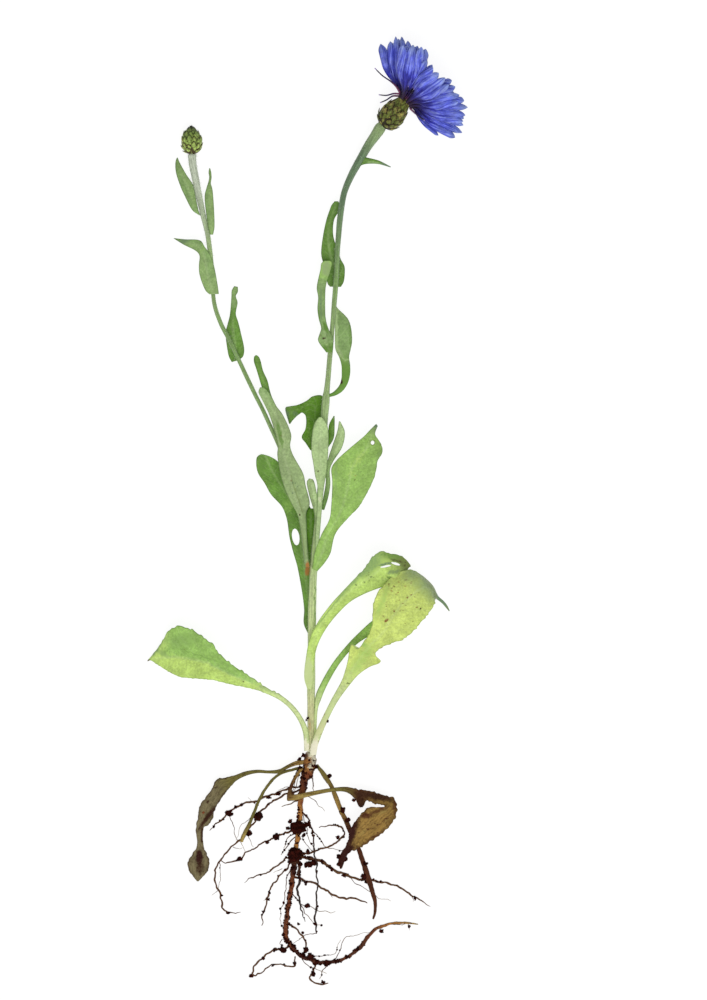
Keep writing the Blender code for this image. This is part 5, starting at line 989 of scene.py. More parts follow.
def leaf_mesh(name, leaf):
    """A leaf from its stations, with teeth, ripples, holes, a rib and a round petiole."""
    size = sizes()
    rows = np.asarray(leaf["rows"], float)
    rows = smooth_rows(rows, size.leaf_cell, np.maximum(steps(rows[:, 0:2]), steps(rows[:, 2:4])))
    edges = {"first": rows[:, 0:2].copy(), "second": rows[:, 2:4].copy()}
    first, second, height = *edges.values(), rows[:, 4]
    middle = np.column_stack([(first + second) / 2, height])
    along = run_length(middle)
    share = along / along[-1]
    width = np.maximum(np.linalg.norm(second - first, axis=1), 0.05)
    outward = (first - second) / width[:, None]
    seed = sum(map(ord, name))

    lengths = {edge: run_length(line) for edge, line in edges.items()}
    signs = {"first": 1, "second": -1}
    for edge, start, end, spacing, depth in leaf["teeth"]:
        window = step(start - 0.03, start + 0.03, share) * (1 - step(end - 0.03, end + 0.02, share))
        saw = depth * window * (tooth_wave(lengths[edge], spacing) - 0.35)
        edges[edge] += outward * (signs[edge] * saw)[:, None]
    if "ragged" in leaf:
        fray = leaf["ragged"] * step(1.4, 3.0, width)
        for edge, line in edges.items():
            tear = waves(lengths[edge][:, None], 2.2, seed + len(edge), 4) * fray
            line += outward * (signs[edge] * tear)[:, None]

    columns = int(np.clip(round(width.max() / size.leaf_cell / 2) * 2, 8, 44)) + 1
    spread = np.linspace(0, 1, columns)[None, :]
    rib_share = np.interp(share, np.linspace(0, 1, len(leaf["rib"])), leaf["rib"])[:, None]
    plan = first[:, None] * (1 - spread)[:, :, None] + second[:, None] * spread[:, :, None]
    off_rib = spread - rib_share
    reach_across = off_rib * width[:, None]
    place = np.where(off_rib < 0, off_rib / rib_share, off_rib / (1 - rib_share))
    swing = np.sin(along[:, None] / leaf["wave"] * math.tau + np.sign(place) * 1.1 + seed % 7)
    breadth = step(1.5, 6.0, width)[:, None]
    flat = plan.reshape(-1, 2)
    rough = 0.10 * waves(flat, 5.0, seed, 3)
    if "withered" in leaf:
        rough = rough + 0.22 * waves(flat, 2.4, seed + 1, 3)
    lift = leaf["fold"] * (np.sqrt(reach_across**2 + 0.16) - 0.4)
    lift = lift + (leaf["ripple"] * place**2 * swing + rough.reshape(place.shape)) * breadth
    for edge, start, end, amount in leaf["rolls"]:
        outer = step(0.35, 1.0, -place if edge == "first" else place)
        window = step(start, start + 0.12, share) * (1 - step(end - 0.06, end, share))
        lift = lift + amount * outer**1.5 * window[:, None]
    points = np.dstack([plan, height[:, None] + lift]).reshape(-1, 3)

    bulge = np.exp(-(reach_across / 0.42) ** 2) * (1 - step(0.55, 1.0, share))[:, None]
    margin = size.leaf_thickness / 2
    round_part = (1 - step(1.7, 3.6, width)) * (1 - step(0.30, 0.48, share))
    stalk = 0.36 * width[:, None] * np.sqrt(np.clip(1 - place**2, 0, 1)) * round_part[:, None]
    above = margin + stalk * 0.55
    below = margin + np.maximum(stalk, size.rib_thickness * bulge * breadth)
    third = len(rows) // 3
    trend = np.cross(np.diff(middle[:, :2], axis=0)[:third], -outward[:third])
    faces = grid_faces(len(rows), columns, flip=trend.sum() > 0)

    for hole in leaf["holes"]:
        distance = in_oval(points[:, :2], *hole)
        inside = in_oval(points[faces].mean(axis=1)[:, :2], *hole) < 1
        rim = np.intersect1d(faces[inside], faces[~inside])
        faces = faces[~inside]
        points[rim, :2] = hole[:2] + (points[rim, :2] - hole[:2]) / np.maximum(distance[rim], 0.2)[:, None]

    values = {
        "blade": per_point(reach_across, along[:, None], 0.0),
        "place": per_point(place, share[:, None], width[:, None]),
        **painted(name, points),
    }
    return thicken(name, points, faces, above.ravel(), below.ravel(), values)


def tube_mesh(name, rows, spacing, sides, swell=None, origin=None):
    """A closed round stalk or root. `swell` gives its radius factor by the turn and the millimetres along."""
    rows = smooth_rows(rows, spacing)
    points, radii = rows[:, :3], rows[:, 3]
    tangents, across, up = carried_frames(points)
    along = run_length(points)
    share = along / along[-1]
    turn = np.arange(sides) * math.tau / sides
    factor = np.ones((len(rows), sides)) if swell is None else swell(turn[None, :], along[:, None])
    ring = np.cos(turn)[None, :, None] * across[:, None] + np.sin(turn)[None, :, None] * up[:, None]
    surface = points[:, None] + ring * (radii[:, None] * factor)[:, :, None]
    ends = [points[0] - tangents[0] * radii[0] * 0.5, points[-1] + tangents[-1] * radii[-1] * 0.5]
    every = np.vstack([surface.reshape(-1, 3), ends])
    blade = per_point(turn[None, :] * radii[:, None], along[:, None], radii[:, None])
    place = per_point(np.cos(turn)[None, :], share[:, None], np.sin(turn)[None, :])
    values = {
        "blade": np.vstack([blade, [0, 0, 0], [0, along[-1], 0]]),
        "place": np.vstack([place, [0, 0, 0], [0, 1, 0]]),
        **painted(name, every),
    }
    return build_mesh(name, every, tube_faces(len(rows), sides), values, origin)


def joined(name, meshes):
    """One mesh that holds several, with their attributes."""
    model = bmesh.new()
    for mesh in meshes:
        model.from_mesh(mesh)
        bpy.data.meshes.remove(mesh)
    whole = bpy.data.meshes.new(name)
    model.to_mesh(whole)
    model.free()
    whole.shade_smooth()
    return whole


def placed(name, data):
    """An object for a mesh, lamp or camera, linked into the scene."""
    made = bpy.data.objects.new(name, data)
    bpy.context.scene.collection.objects.link(made)
    return made


def stood(name, places, copy_mesh, finish):
    """One mesh of the small mesh's copies on (point, turn, size) places."""
    points, turns, scales = zip(*places)
    carrier = build_mesh(name + "_places", points, [], {"turn": turns, "size": scales})
    return grown(name, stand_tree, carrier, copy_mesh, Material=finish)


def rest_on_table(mesh):
    """Flattens whatever would sink into the table."""
    places = np.empty(len(mesh.vertices) * 3, np.float32)
    mesh.vertices.foreach_get("co", places)
    places[2::3] = np.maximum(places[2::3], TABLE_GAP)
    mesh.vertices.foreach_set("co", places)


def show(name, mesh, material, slot, *nodes):
    """Puts a finished piece in the scene, on its body, in place of its CAD nodes."""
    rest_on_table(mesh)
    mesh.materials.clear()
    mesh.materials.append(material)
    piece = placed(name, mesh)
    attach(piece, BODY)
    if nodes:
        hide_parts(*nodes)


# ---- Node trees ----


class Nodes:
    """Short ways to add nodes to one tree and to join them."""

    def __init__(self, tree):
        self.tree = tree

    def add(self, kind, inputs=None, **settings):
        made = self.tree.nodes.new(kind)
        for key, value in settings.items():
            setattr(made, key, value)
        for key, value in (inputs or {}).items():
            socket = made.inputs[key]
            if isinstance(value, bpy.types.NodeSocket):
                self.tree.links.new(value, socket)
            else:
                socket.default_value = (*value, 1) if socket.type == "RGBA" else value
        return made

    def math(self, operation, *values):
        return self.add("ShaderNodeMath", dict(enumerate(values)), operation=operation).outputs[0]

    def times(self, first, *others):
        for other in others:
            first = self.math("MULTIPLY", first, other)
        return first

    def plus(self, first, *others):
        for other in others:
            first = self.math("ADD", first, other)
        return first

    def minus(self, first, *others):
        for other in others:
            first = self.math("SUBTRACT", first, other)
        return first

    def span(self, value, low, high, low_to=0.0, high_to=1.0):
        """`value` between low and high, as a smooth rise from low_to to high_to."""
        ends = {0: value, 1: low, 2: high, 3: low_to, 4: high_to}
        return self.add("ShaderNodeMapRange", ends, interpolation_type="SMOOTHSTEP").outputs[0]

    def noise(self, vector, scale, detail=2.0, roughness=0.5):
        given = {"Vector": vector, "Scale": scale, "Detail": detail, "Roughness": roughness}
        return self.add("ShaderNodeTexNoise", given).outputs["Fac"]

    def parts(self, vector):
        return self.add("ShaderNodeSeparateXYZ", {0: vector}).outputs

    def combined(self, *values):
        return self.add("ShaderNodeCombineXYZ", dict(enumerate(values))).outputs[0]

    def size(self, value):
        """A value without its sign."""
        return self.math("ABSOLUTE", value)


def new_tree(name, kind, inputs, outputs):
    """A node tree whose sockets are given as "Name:Kind" words."""
    tree = bpy.data.node_groups.new(name, kind)
    for sockets, way in ((inputs, "INPUT"), (outputs, "OUTPUT")):
        for word in sockets.split():
            socket, socket_kind = word.split(":")
            tree.interface.new_socket(name=socket, in_out=way, socket_type="NodeSocket" + socket_kind)
    nodes = Nodes(tree)
    return nodes, nodes.add("NodeGroupInput").outputs, nodes.add("NodeGroupOutput").inputs


def stand_copies(nodes, given, result, points, rotation, scale):
    """Ends a tree: real copies of the given object stand on points, in the given material."""
    copy = nodes.add("GeometryNodeObjectInfo", {"Object": given["Copy"]}, transform_space="ORIGINAL")
    stood = nodes.add("GeometryNodeInstanceOnPoints", {
        "Points": points, "Instance": copy.outputs["Geometry"], "Rotation": rotation, "Scale": scale,
    })
    real = nodes.add("GeometryNodeRealizeInstances", {0: stood.outputs[0]})
    dressed = nodes.add(
        "GeometryNodeSetMaterial", {"Geometry": real.outputs[0], "Material": given["Material"]},
    )
    nodes.tree.links.new(dressed.outputs[0], result[0])
    return nodes.tree


def scatter_tree(name):
    """Copies of one piece stand on a surface, thickest where its growth attribute is high."""
    nodes, given, result = new_tree(
        name, "GeometryNodeTree",
        "Surface:Geometry Copy:Object Density:Float Smallest:Float Largest:Float Lean:Float Seed:Int "
        "Material:Material",
        "Geometry:Geometry",
    )
    growth = nodes.add("GeometryNodeInputNamedAttribute", {"Name": "growth"}, data_type="FLOAT")
    spread = nodes.add("GeometryNodeDistributePointsOnFaces", {
        "Mesh": given["Surface"], "Seed": given["Seed"],
        "Density": nodes.times(growth.outputs["Attribute"], given["Density"]),
    }, distribute_method="RANDOM").outputs
    back, lean = nodes.times(given["Lean"], -1.0), given["Lean"]
    turn = nodes.add("FunctionNodeRandomValue", {
        0: nodes.combined(back, back, 0.0), 1: nodes.combined(lean, lean, math.tau), "Seed": given["Seed"],
    }, data_type="FLOAT_VECTOR")
    tilted = nodes.add("FunctionNodeEulerToRotation", {0: turn.outputs[0]})
    turned = nodes.add(
        "FunctionNodeRotateRotation",
        {"Rotation": spread["Rotation"], "Rotate By": tilted.outputs[0]}, rotation_space="LOCAL",
    )
    scale = nodes.add("FunctionNodeRandomValue", {
        2: given["Smallest"], 3: given["Largest"], "Seed": given["Seed"],
    }, data_type="FLOAT")
    return stand_copies(nodes, given, result, spread["Points"], turned.outputs[0], scale.outputs[1])


def stand_tree(name):
    """Copies of one piece stand on given points, turned and sized by the points' own attributes."""
    nodes, given, result = new_tree(
        name, "GeometryNodeTree", "Points:Geometry Copy:Object Material:Material", "Geometry:Geometry",
    )
    turn, size = (
        nodes.add("GeometryNodeInputNamedAttribute", {"Name": key}, data_type="FLOAT_VECTOR")
        for key in ("turn", "size")
    )
    rotation = nodes.add("FunctionNodeEulerToRotation", {0: turn.outputs["Attribute"]})
    return stand_copies(
        nodes, given, result, given["Points"], rotation.outputs[0], size.outputs["Attribute"],
    )


def grown(name, maker, carrier_mesh, copy_mesh, **inputs):
    """The plain mesh that a Geometry Nodes tree makes on a carrier from copies of one small mesh."""
    title = {scatter_tree: "Scatter on Surface", stand_tree: "Stand on Points"}[maker]
    tree = bpy.data.node_groups.get(title) or maker(title)
    carrier, copy = placed(name + "_carrier", carrier_mesh), placed(name + "_copy", copy_mesh)
    grower = carrier.modifiers.new(tree.name, "NODES")
    grower.node_group = tree
    given = {"Copy": copy, **inputs}
    for socket in tree.interface.items_tree:
        if socket.in_out == "INPUT" and socket.name in given:
            grower[socket.identifier] = given[socket.name]
    bpy.context.view_layer.update()
    evaluated = carrier.evaluated_get(bpy.context.evaluated_depsgraph_get())
    mesh = bpy.data.meshes.new_from_object(evaluated)
    mesh.name = name
    for piece in (carrier, copy):
        data = piece.data
        bpy.data.objects.remove(piece)
        bpy.data.meshes.remove(data)
    mesh.shade_smooth()
    return mesh


def hair_mesh():
    """A bent hair of three thin sides, 1 mm long, that stands on its root."""
    rings = [(0.0, 0.0, 0.0, 0.022), (0.10, 0.0, 0.45, 0.016), (0.34, 0.05, 0.82, 0.010)]
    points = [
        (x + r * math.cos(a), y + r * math.sin(a), z)
        for x, y, z, r in rings for a in np.arange(3) * math.tau / 3
    ]
    points += [(0.0, 0.0, -0.02), (0.56, 0.10, 1.0)]
    return build_mesh("hair", points, tube_faces(3, 3), origin=0)


def rough_ball(subdivisions, roughness):
    """The points and faces of a ball 2 mm across whose surface `roughness` moves in and out."""
    model = bmesh.new()
    bmesh.ops.create_icosphere(model, subdivisions=subdivisions, radius=1.0)
    points = np.array([vert.co * (1 + roughness(vert.co)) for vert in model.verts])
    faces = [[vert.index for vert in face.verts] for face in model.faces]
    model.free()
    return points, faces


def crumb_mesh(subdivisions, seed):
    """A rough crumb of soil, 1 mm across."""
    draw = random.Random(seed)
    points, faces = rough_ball(subdivisions, lambda at: (
        0.34 * noise.noise(at * 2.2 + Vector((seed, 0, 0))) + draw.uniform(-0.10, 0.10)
    ))
    return build_mesh("crumb", points / 2, faces, origin=0)


# ---- Shader groups and materials ----


def vein_lines(nodes, given):
    """The rib, and side veins that branch from it and curve towards the tip."""
    across, along, _ = nodes.parts(given["Blade"])
    off_rib = nodes.size(across)
    wobble = nodes.times(nodes.noise(given["Blade"], 0.28, 3.0), 3.2)
    curved = nodes.times(nodes.math("POWER", nodes.plus(off_rib, 0.01), 0.8), given["Slant"])
    phase = nodes.plus(nodes.minus(along, curved), wobble)
    saw = nodes.math("FRACT", nodes.math("DIVIDE", phase, given["Spacing"]))
    ridge = nodes.size(nodes.minus(nodes.times(saw, 2.0), 1.0))
    net = nodes.add(
        "ShaderNodeTexVoronoi", {"Vector": given["Blade"], "Scale": 0.9}, feature="DISTANCE_TO_EDGE",
    )
    return (
        nodes.span(off_rib, 0.18, 0.62, 1.0, 0.0), nodes.span(ridge, 0.76, 1.0),
        nodes.span(net.outputs["Distance"], 0.0, 0.11, 1.0, 0.0),
    )


def dark_specks(nodes, given):
    """Small scattered spots."""
    cells = nodes.add("ShaderNodeTexVoronoi", {"Vector": given["Vector"], "Scale": given["Scale"]}).outputs
    chance = nodes.parts(cells["Color"])
    chosen = nodes.math("GREATER_THAN", chance[0], 0.62)
    spot = nodes.math("LESS_THAN", cells["Distance"], nodes.plus(nodes.times(chance[1], 0.16), 0.02))
    return (nodes.times(spot, chosen),)


def long_fibres(nodes, given):
    """Streaks that run along a stalk, a petal or a root."""
    across, along, deep = nodes.parts(given["Blade"])
    drawn = nodes.combined(across, nodes.times(along, given["Stretch"]), deep)
    return (nodes.span(nodes.noise(drawn, given["Scale"], 4.0, 0.6), 0.3, 0.7),)


def soil_stain(nodes, given):
    """Patches where soil clings to a root or a stalk."""
    cloud = nodes.noise(given["Vector"], 420.0, 5.0, 0.65)
    return (nodes.span(nodes.plus(cloud, given["Amount"]), 0.62, 0.82),)


SHADER_GROUPS = {
    "Leaf Veins": (vein_lines, "Blade:Vector Spacing:Float Slant:Float", "Rib:Float Veins:Float Net:Float"),
    "Specks": (dark_specks, "Vector:Vector Scale:Float", "Mask:Float"),
    "Long Fibres": (long_fibres, "Blade:Vector Stretch:Float Scale:Float", "Value:Float"),
    "Soil Stain": (soil_stain, "Vector:Vector Amount:Float", "Mask:Float"),
}


class Surface(Nodes):
    """A material in the making: its nodes, its shader and its colour so far."""

    def __init__(self, name, roughness, shine=0.25, sheen=0.0):
        self.material = bpy.data.materials.new(name)
        self.material.use_nodes = True
        super().__init__(self.material.node_tree)
        self.shader = self.tree.nodes["Principled BSDF"]
        for key, value in (("Roughness", roughness), ("Specular IOR Level", shine), ("Sheen Weight", sheen)):
            self.shader.inputs[key].default_value = value
        self.spot = self.add("ShaderNodeTexCoord").outputs["Object"]

    def vector(self, name):
        return self.add("ShaderNodeAttribute", attribute_name=name).outputs["Vector"]

    def amount(self, name):
        return self.add("ShaderNodeAttribute", attribute_name=name).outputs["Fac"]

    def place(self, name="place"):
        return self.parts(self.vector(name))

    def cloud(self, scale, detail=2.0, roughness=0.5):
        return self.noise(self.spot, scale, detail, roughness)

    def group(self, name, **inputs):
        """A shader node group, built on its first use."""
        tree = bpy.data.node_groups.get(name)
        if not tree:
            builder, given, found = SHADER_GROUPS[name]
            nodes, source, result = new_tree(name, "ShaderNodeTree", given, found)
            tree = nodes.tree
            for index, socket in enumerate(builder(nodes, source)):
                tree.links.new(socket, result[index])
        return self.add("ShaderNodeGroup", inputs, node_tree=tree).outputs

    def fibres(self, stretch, scale):
        return self.group("Long Fibres", Blade=self.vector("blade"), Stretch=stretch, Scale=scale)[0]

    def mix(self, factor, first, second, blend="MIX"):
        given = {0: factor, 6: first, 7: second}
        return self.add(
            "ShaderNodeMix", given, data_type="RGBA", blend_type=blend, clamp_factor=True,
        ).outputs[2]

    def tint(self, factor, shade):
        """Mixes a colour over the colour so far."""
        self.shade = self.mix(factor, self.shade, shade)

    def toward(self, share, shade):
        """The colour so far, mixed with another but not yet laid on."""
        return self.mix(share, self.shade, shade)

    def shaded(self, *levels):
        """The colour so far, multiplied by red, green and blue levels."""
        return self.mix(1.0, self.shade, levels, "MULTIPLY")

    def vary(self, value, low, high):
        """Darkens and lightens the colour with a value from 0 to 1."""
        level = self.span(value, 0.28, 0.72, low, high)
        grey = self.add("ShaderNodeCombineColor", {0: level, 1: level, 2: level}).outputs[0]
        self.shade = self.mix(1.0, self.shade, grey, "MULTIPLY")

    def ramp(self, value, stops):
        """Starts the colour: it changes along a value by stops written as "place tone"."""
        made = self.add("ShaderNodeValToRGB", {0: value})
        stops = [stop.split() for stop in stops.split(", ")]
        elements = made.color_ramp.elements
        while len(elements) < len(stops):
            elements.new(0.5)
        for element, (place, name) in zip(elements, stops):
            element.position = float(place)
            element.color = (*tone(name), 1)
        self.shade = made.outputs[0]

    def marks(self, grain):
        """Lays the painted marks over the colour, with an edge broken up by the grain."""
        cover = self.amount("marked")
        uneven = self.times(self.minus(grain, 0.5), self.span(cover, 0.0, 0.3, 0.0, 1.1))
        self.tint(self.span(self.plus(cover, uneven), 0.05, 0.95), self.vector("mark"))

    def finish(self, height, strength, distance, grain=None, *roughness):
        """Joins the colour, a relief and, where given, a roughness that follows the grain to the shader."""
        links = self.tree.links
        links.new(self.shade, self.shader.inputs["Base Color"])
        bump = self.add("ShaderNodeBump", {"Strength": strength, "Distance": distance, "Height": height})
        links.new(bump.outputs[0], self.shader.inputs["Normal"])
        if roughness:
            links.new(self.span(grain, 0.3, 0.7, *roughness), self.shader.inputs["Roughness"])
        return self.material


def leaf_material(name, leaf):
    """A leaf's finish: its own greens, rib, veins, mottling and specks, with painted shade on its darker half
    and along its margin.
    """
    petiole, first, second, tip = map(tone, leaf["colours"].split())
    s = Surface(name, 0.6, 0.25, 0.12)
    side, along, width = s.place()
    grain, cloud = s.cloud(1500.0, 4.0, 0.65), s.cloud(260.0, 4.0, 0.6)
    ragged = s.times(s.minus(cloud, 0.5), 0.6)
    # The blade's two halves get their own greens: where they differ, the darker half is painted shade of the
    # fold along the rib.
    s.shade = s.mix(s.span(s.plus(side, ragged), -0.14, 0.14), first, second)
    uneven = s.plus(along, s.times(ragged, 0.3))
    starts, foot = leaf["tip_from"], leaf["petiole"]
    s.tint(s.span(uneven, starts - 0.06, starts + 0.06), tip)
    s.tint(s.span(uneven, foot * 0.6, foot * 1.3, 1.0, 0.0), petiole)
    veins = s.group("Leaf Veins", Blade=s.vector("blade"), Spacing=3.4, Slant=1.6)
    wide = s.span(width, 0.8, 4.0)
    pale = s.toward(0.5, (0.74, 0.84, 0.50))
    for line, share in (("Rib", leaf["rib_shows"]), ("Veins", 0.13), ("Net", 0.10)):
        s.tint(s.times(veins[line], wide, share), pale)
    s.vary(cloud, 0.84, 1.16)
    s.vary(grain, 0.82, 1.18)
    # Painted shade: the blade darkens towards its margin.
    rim = s.times(s.minus(1.0, s.size(side)), width)
    s.tint(s.span(rim, 0.05, 0.75, 0.55, 0.0), s.shaded(0.36, 0.42, 0.32))
    s.tint(s.times(s.amount("under"), 0.40), s.toward(0.6, (0.60, 0.68, 0.48)))
    s.marks(grain)
    specks = s.group("Specks", Vector=s.spot, Scale=420.0)[0]
    patchy = s.span(s.cloud(90.0), 0.42, 0.60)
    s.tint(s.times(specks, patchy, leaf["specks"]), (0.15, 0.09, 0.02))
    relief = s.plus(s.times(cloud, 0.5), s.times(grain, 0.7))
    relief = s.minus(relief, s.times(veins["Veins"], 0.25), s.times(veins["Net"], 0.20))
    return s.finish(relief, 0.5, 0.00022, grain, 0.5, 0.75)


def withered_material(name, stops):
    """A dead leaf or petiole: blotched, wrinkled and dark in its folds, with painted shade along a leaf's
    margins and down a petiole's sides.
    """
    dark = tone("dead_dark")
    s = Surface(name, 0.8, 0.2)
    side, along, _ = s.place()
    grain, blotch = s.cloud(1300.0, 5.0, 0.7), s.cloud(380.0, 5.0, 0.66)
    fibres = s.fibres(0.12, 2.4)
    s.ramp(s.plus(along, s.times(s.minus(blotch, 0.5), 0.08)), stops)
    s.vary(fibres, 0.84, 1.14)
    s.tint(s.span(blotch, 0.52, 0.70, 0.0, 0.70), s.toward(0.6, dark))
    # Painted shade: darker towards a leaf's margins and a petiole's sides.
    s.tint(s.span(s.size(side), 0.70, 1.0, 0.0, 0.60), dark)
    s.marks(grain)
    s.tint(s.span(grain, 0.52, 0.66, 0.0, 0.55), s.toward(0.8, dark))
    relief = s.plus(s.times(fibres, 0.5), grain, blotch)
    return s.finish(relief, 0.7, 0.00030, grain, 0.68, 0.92)


def stalk_material(name, stops):
    """A ribbed stalk whose colour changes along it, with painted shade down its two sides."""
    s = Surface(name, 0.62, 0.22, 0.2)
    across, along, _ = s.place()
    grain, fibres = s.cloud(1400.0, 4.0, 0.65), s.fibres(0.05, 3.2)
    s.ramp(along, stops)
    s.vary(fibres, 0.84, 1.12)
    s.vary(grain, 0.86, 1.12)
    # Painted shade: the stalk darkens towards its two sides, as seen from above.
    s.tint(s.span(s.size(across), 0.74, 1.0, 0.0, 0.45), s.shaded(0.50, 0.60, 0.42))
    s.marks(grain)
    return s.finish(s.plus(fibres, s.times(grain, 0.5)), 0.6, 0.00018, grain, 0.52, 0.75)


def root_material(name, stops, soiled):
    """Root bark: brown streaks, rings of darker cork and clinging soil, with painted shade down its sides."""
    dark = tone("bark_dark")
    s = Surface(name, 0.75, 0.25)
    across, along, _ = s.place()
    grain, fibres = s.cloud(1600.0, 4.0, 0.65), s.fibres(0.22, 2.6)
    squeezed = s.add("ShaderNodeMapping", {"Vector": s.vector("blade"), "Scale": (0.4, 2.0, 0.4)})
    rings = s.noise(squeezed.outputs[0], 1.0, 4.0)
    s.ramp(along, stops)
    s.tint(s.span(fibres, 0.0, 0.55, 0.75, 0.0), s.toward(0.65, dark))
    s.tint(s.span(rings, 0.52, 0.66, 0.0, 0.75), s.toward(0.75, dark))
    s.vary(grain, 0.72, 1.22)
    # Painted shade: the root darkens towards its two sides.
    s.tint(s.span(s.size(across), 0.60, 1.0, 0.0, 0.70), dark)
    s.marks(grain)
    s.tint(s.times(s.group("Soil Stain", Vector=s.spot, Amount=soiled)[0], 0.9), tone("soil"))
    relief = s.plus(fibres, rings, s.times(grain, 0.8))
    return s.finish(relief, 0.8, 0.00030, grain, 0.6, 0.9)


def soil_material():
    s = Surface("clinging_soil", 0.9, 0.06)
    coarse, fine = s.cloud(900.0, 4.0, 0.7), s.cloud(3600.0, 3.0, 0.7)
    black, brown = (tuple(level * factor for level in tone("soil")) for factor in (0.4, 1.9))
    s.shade = s.mix(s.span(coarse, 0.38, 0.68), black, brown)
    s.tint(s.span(fine, 0.60, 0.76, 0.0, 0.6), (0.13, 0.045, 0.02))
    return s.finish(s.plus(coarse, fine), 0.9, 0.00035)


def petal_material():
    """A ray floret: violet in the throat, blue on the lobes, with fine darker veins, dusty tips and painted
    shade in the valleys between its lobes.
    """
    s = Surface("ray_floret_blue", 0.5, 0.25, 0.1)
    lobe, along, _ = s.place()
    beside, fibres = s.size(lobe), s.fibres(0.07, 2.8)
    s.ramp(
        s.plus(along, s.times(s.minus(fibres, 0.5), 0.12)),
        "0.12 petal_throat, 0.26 petal_navy, 0.44 petal_deep, 0.62 petal, 0.76 petal, 0.95 petal_tip",
    )
    deep = s.shaded(0.26, 0.26, 0.50)
    outer = s.span(along, 0.2, 0.5)
    # Painted shade: darker in the valleys of the pleats, between the lobes.
    s.tint(s.times(s.span(beside, 0.45, 1.0, 0.0, 0.85), s.span(along, 0.95, 0.75)), deep)
    veins = s.size(s.math("SINE", s.times(lobe, 6.3)))
    lines = s.times(s.span(veins, 0.0, 0.30, 1.0, 0.0), s.span(along, 0.3, 0.5))
    s.tint(s.times(lines, 0.55), deep)
    s.tint(s.span(fibres, 0.0, 0.5, 0.75, 0.0), deep)
    s.tint(s.times(s.span(fibres, 0.55, 0.85, 0.0, 0.45), outer), (0.38, 0.44, 0.92))
    s.vary(s.cloud(420.0, 4.0, 0.6), 0.72, 1.24)
    # Painted shade: each lobe's edges are darkened, from where the lobes part out to their tips.
    s.tint(s.times(s.span(beside, 0.72, 1.0), s.span(along, 0.80, 0.90), 0.55), (0.085, 0.115, 0.30))
    s.tint(s.times(s.amount("under"), 0.25, outer), (0.16, 0.17, 0.52))
    return s.finish(s.plus(fibres, lines), 0.5, 0.00014)


def disc_material():
    """A disc floret: a violet tube, near-black anthers and a paler style."""
    s = Surface("disc_floret_violet", 0.5, 0.3)
    along = s.place()[1]
    grain = s.cloud(1800.0, 3.0)
    s.shade = s.mix(s.span(along, 0.05, 0.5), (0.20, 0.05, 0.12), tone("disc"))
    s.tint(s.span(along, 0.60, 0.68), (0.012, 0.006, 0.028))
    s.tint(s.span(along, 0.90, 0.95), (0.42, 0.30, 0.62))
    s.tint(s.span(grain, 0.45, 0.7, 0.0, 0.4), (0.02, 0.01, 0.05))
    return s.finish(grain, 0.5, 0.0001)


def bract_material(name, green, rim_tone, crown):
    """A scale of the cup: green with fine lines, a painted highlight down its middle, and a fringed rim that
    is nearly black.
    """
    s = Surface(name, 0.6, 0.3)
    rim, _, side = s.place("scale")
    grain = s.cloud(1500.0, 4.0, 0.65)
    lines = s.size(s.math("SINE", s.times(side, 7.0)))
    s.shade = s.mix(s.span(s.cloud(420.0, 3.0), 0.46, 0.66), green, (0.36, 0.30, 0.07))
    s.tint(s.span(lines, 0.0, 0.9, 0.5, 0.0), tuple(level * 0.35 for level in green))
    # Painted highlight: the scale is lighter down its middle.
    s.tint(s.span(s.size(side), 0.40, 0.0, 0.0, 0.55), tuple(min(1.0, level * 1.7 + 0.04) for level in green))
    s.vary(grain, 0.42, 1.42)
    uneven = s.plus(rim, s.times(s.minus(grain, 0.5), 0.5))
    s.tint(s.span(uneven, 0.48, 0.66, 0.0, 0.75), (0.10, 0.045, 0.012))
    s.tint(s.span(uneven, 0.64, 0.82), (rim_tone * 1.6, rim_tone * 1.1, rim_tone * 0.3))
    if crown:
        height = s.parts(s.spot)[1]
        s.tint(s.span(height, crown - 0.005, crown, 0.0, 0.5), (0.05, 0.13, 0.012))
        s.tint(s.span(height, crown, crown + 0.002, 0.0, 0.92), (0.010, 0.011, 0.004))
    return s.finish(s.plus(lines, grain), 0.5, 0.00015)


def wool_material():
    s = Surface("wool", 0.8, 0.2, 0.3)
    cloud = s.cloud(500.0)
    s.shade = s.mix(cloud, srgb(206, 212, 192), srgb(236, 238, 228))
    return s.finish(cloud, 0.2, 0.00005)


# ---- Pieces ----


def ribbed(ribs, depth, seed):
    """A stalk's section: ribs along it, and a little unevenness."""
    def swell(turn, along):
        spin = turn * ribs + 0.9 * np.sin(along / 31 + seed)
        uneven = 0.03 * np.sin(along / 3.1 + turn * 2 + seed) + 0.02 * np.sin(along / 1.3 + turn)
        return 1 + depth * np.cos(spin) + uneven
    return swell


def gnarled(depth, seed):
    """A root's section: swellings, wrinkles and lumps."""
    def swell(turn, along):
        turn, along = np.broadcast_arrays(turn, along)
        places = np.column_stack([np.cos(turn).ravel(), np.sin(turn).ravel(), along.ravel() / 1.3])
        return 1 + depth * waves(places, 2.6, seed, 4).reshape(turn.shape)
    return swell


def show_tube(name, suffix, rows, spacing, sides, swell, finish, slot):
    show(name + suffix, tube_mesh(name, rows, spacing, sides, swell), finish, slot, name)


def make_stems():
    for name, rows, sides, swell, stops in (
        ("main_stem", MAIN_STEM, 28, ribbed(8, 0.055, 1), STEM_TONES),
        ("bud_stalk", BUD_STALK, 24, ribbed(7, 0.06, 2), BUD_STALK_TONES),
    ):
        show_tube(name, "_ribbed", rows, 0.55, sides, swell, stalk_material(name + "_green", stops), "stalk")


def make_leaves(group):
    for name, leaf in group.items():
        leaf = LEAF_DEFAULTS | leaf
        if "withered" in leaf:
            finish = withered_material(name + "_finish", leaf["withered"])
        else:
            finish = leaf_material(name + "_finish", leaf)
        show(name + "_blade", leaf_mesh(name, leaf), finish, leaf["slot"], name)


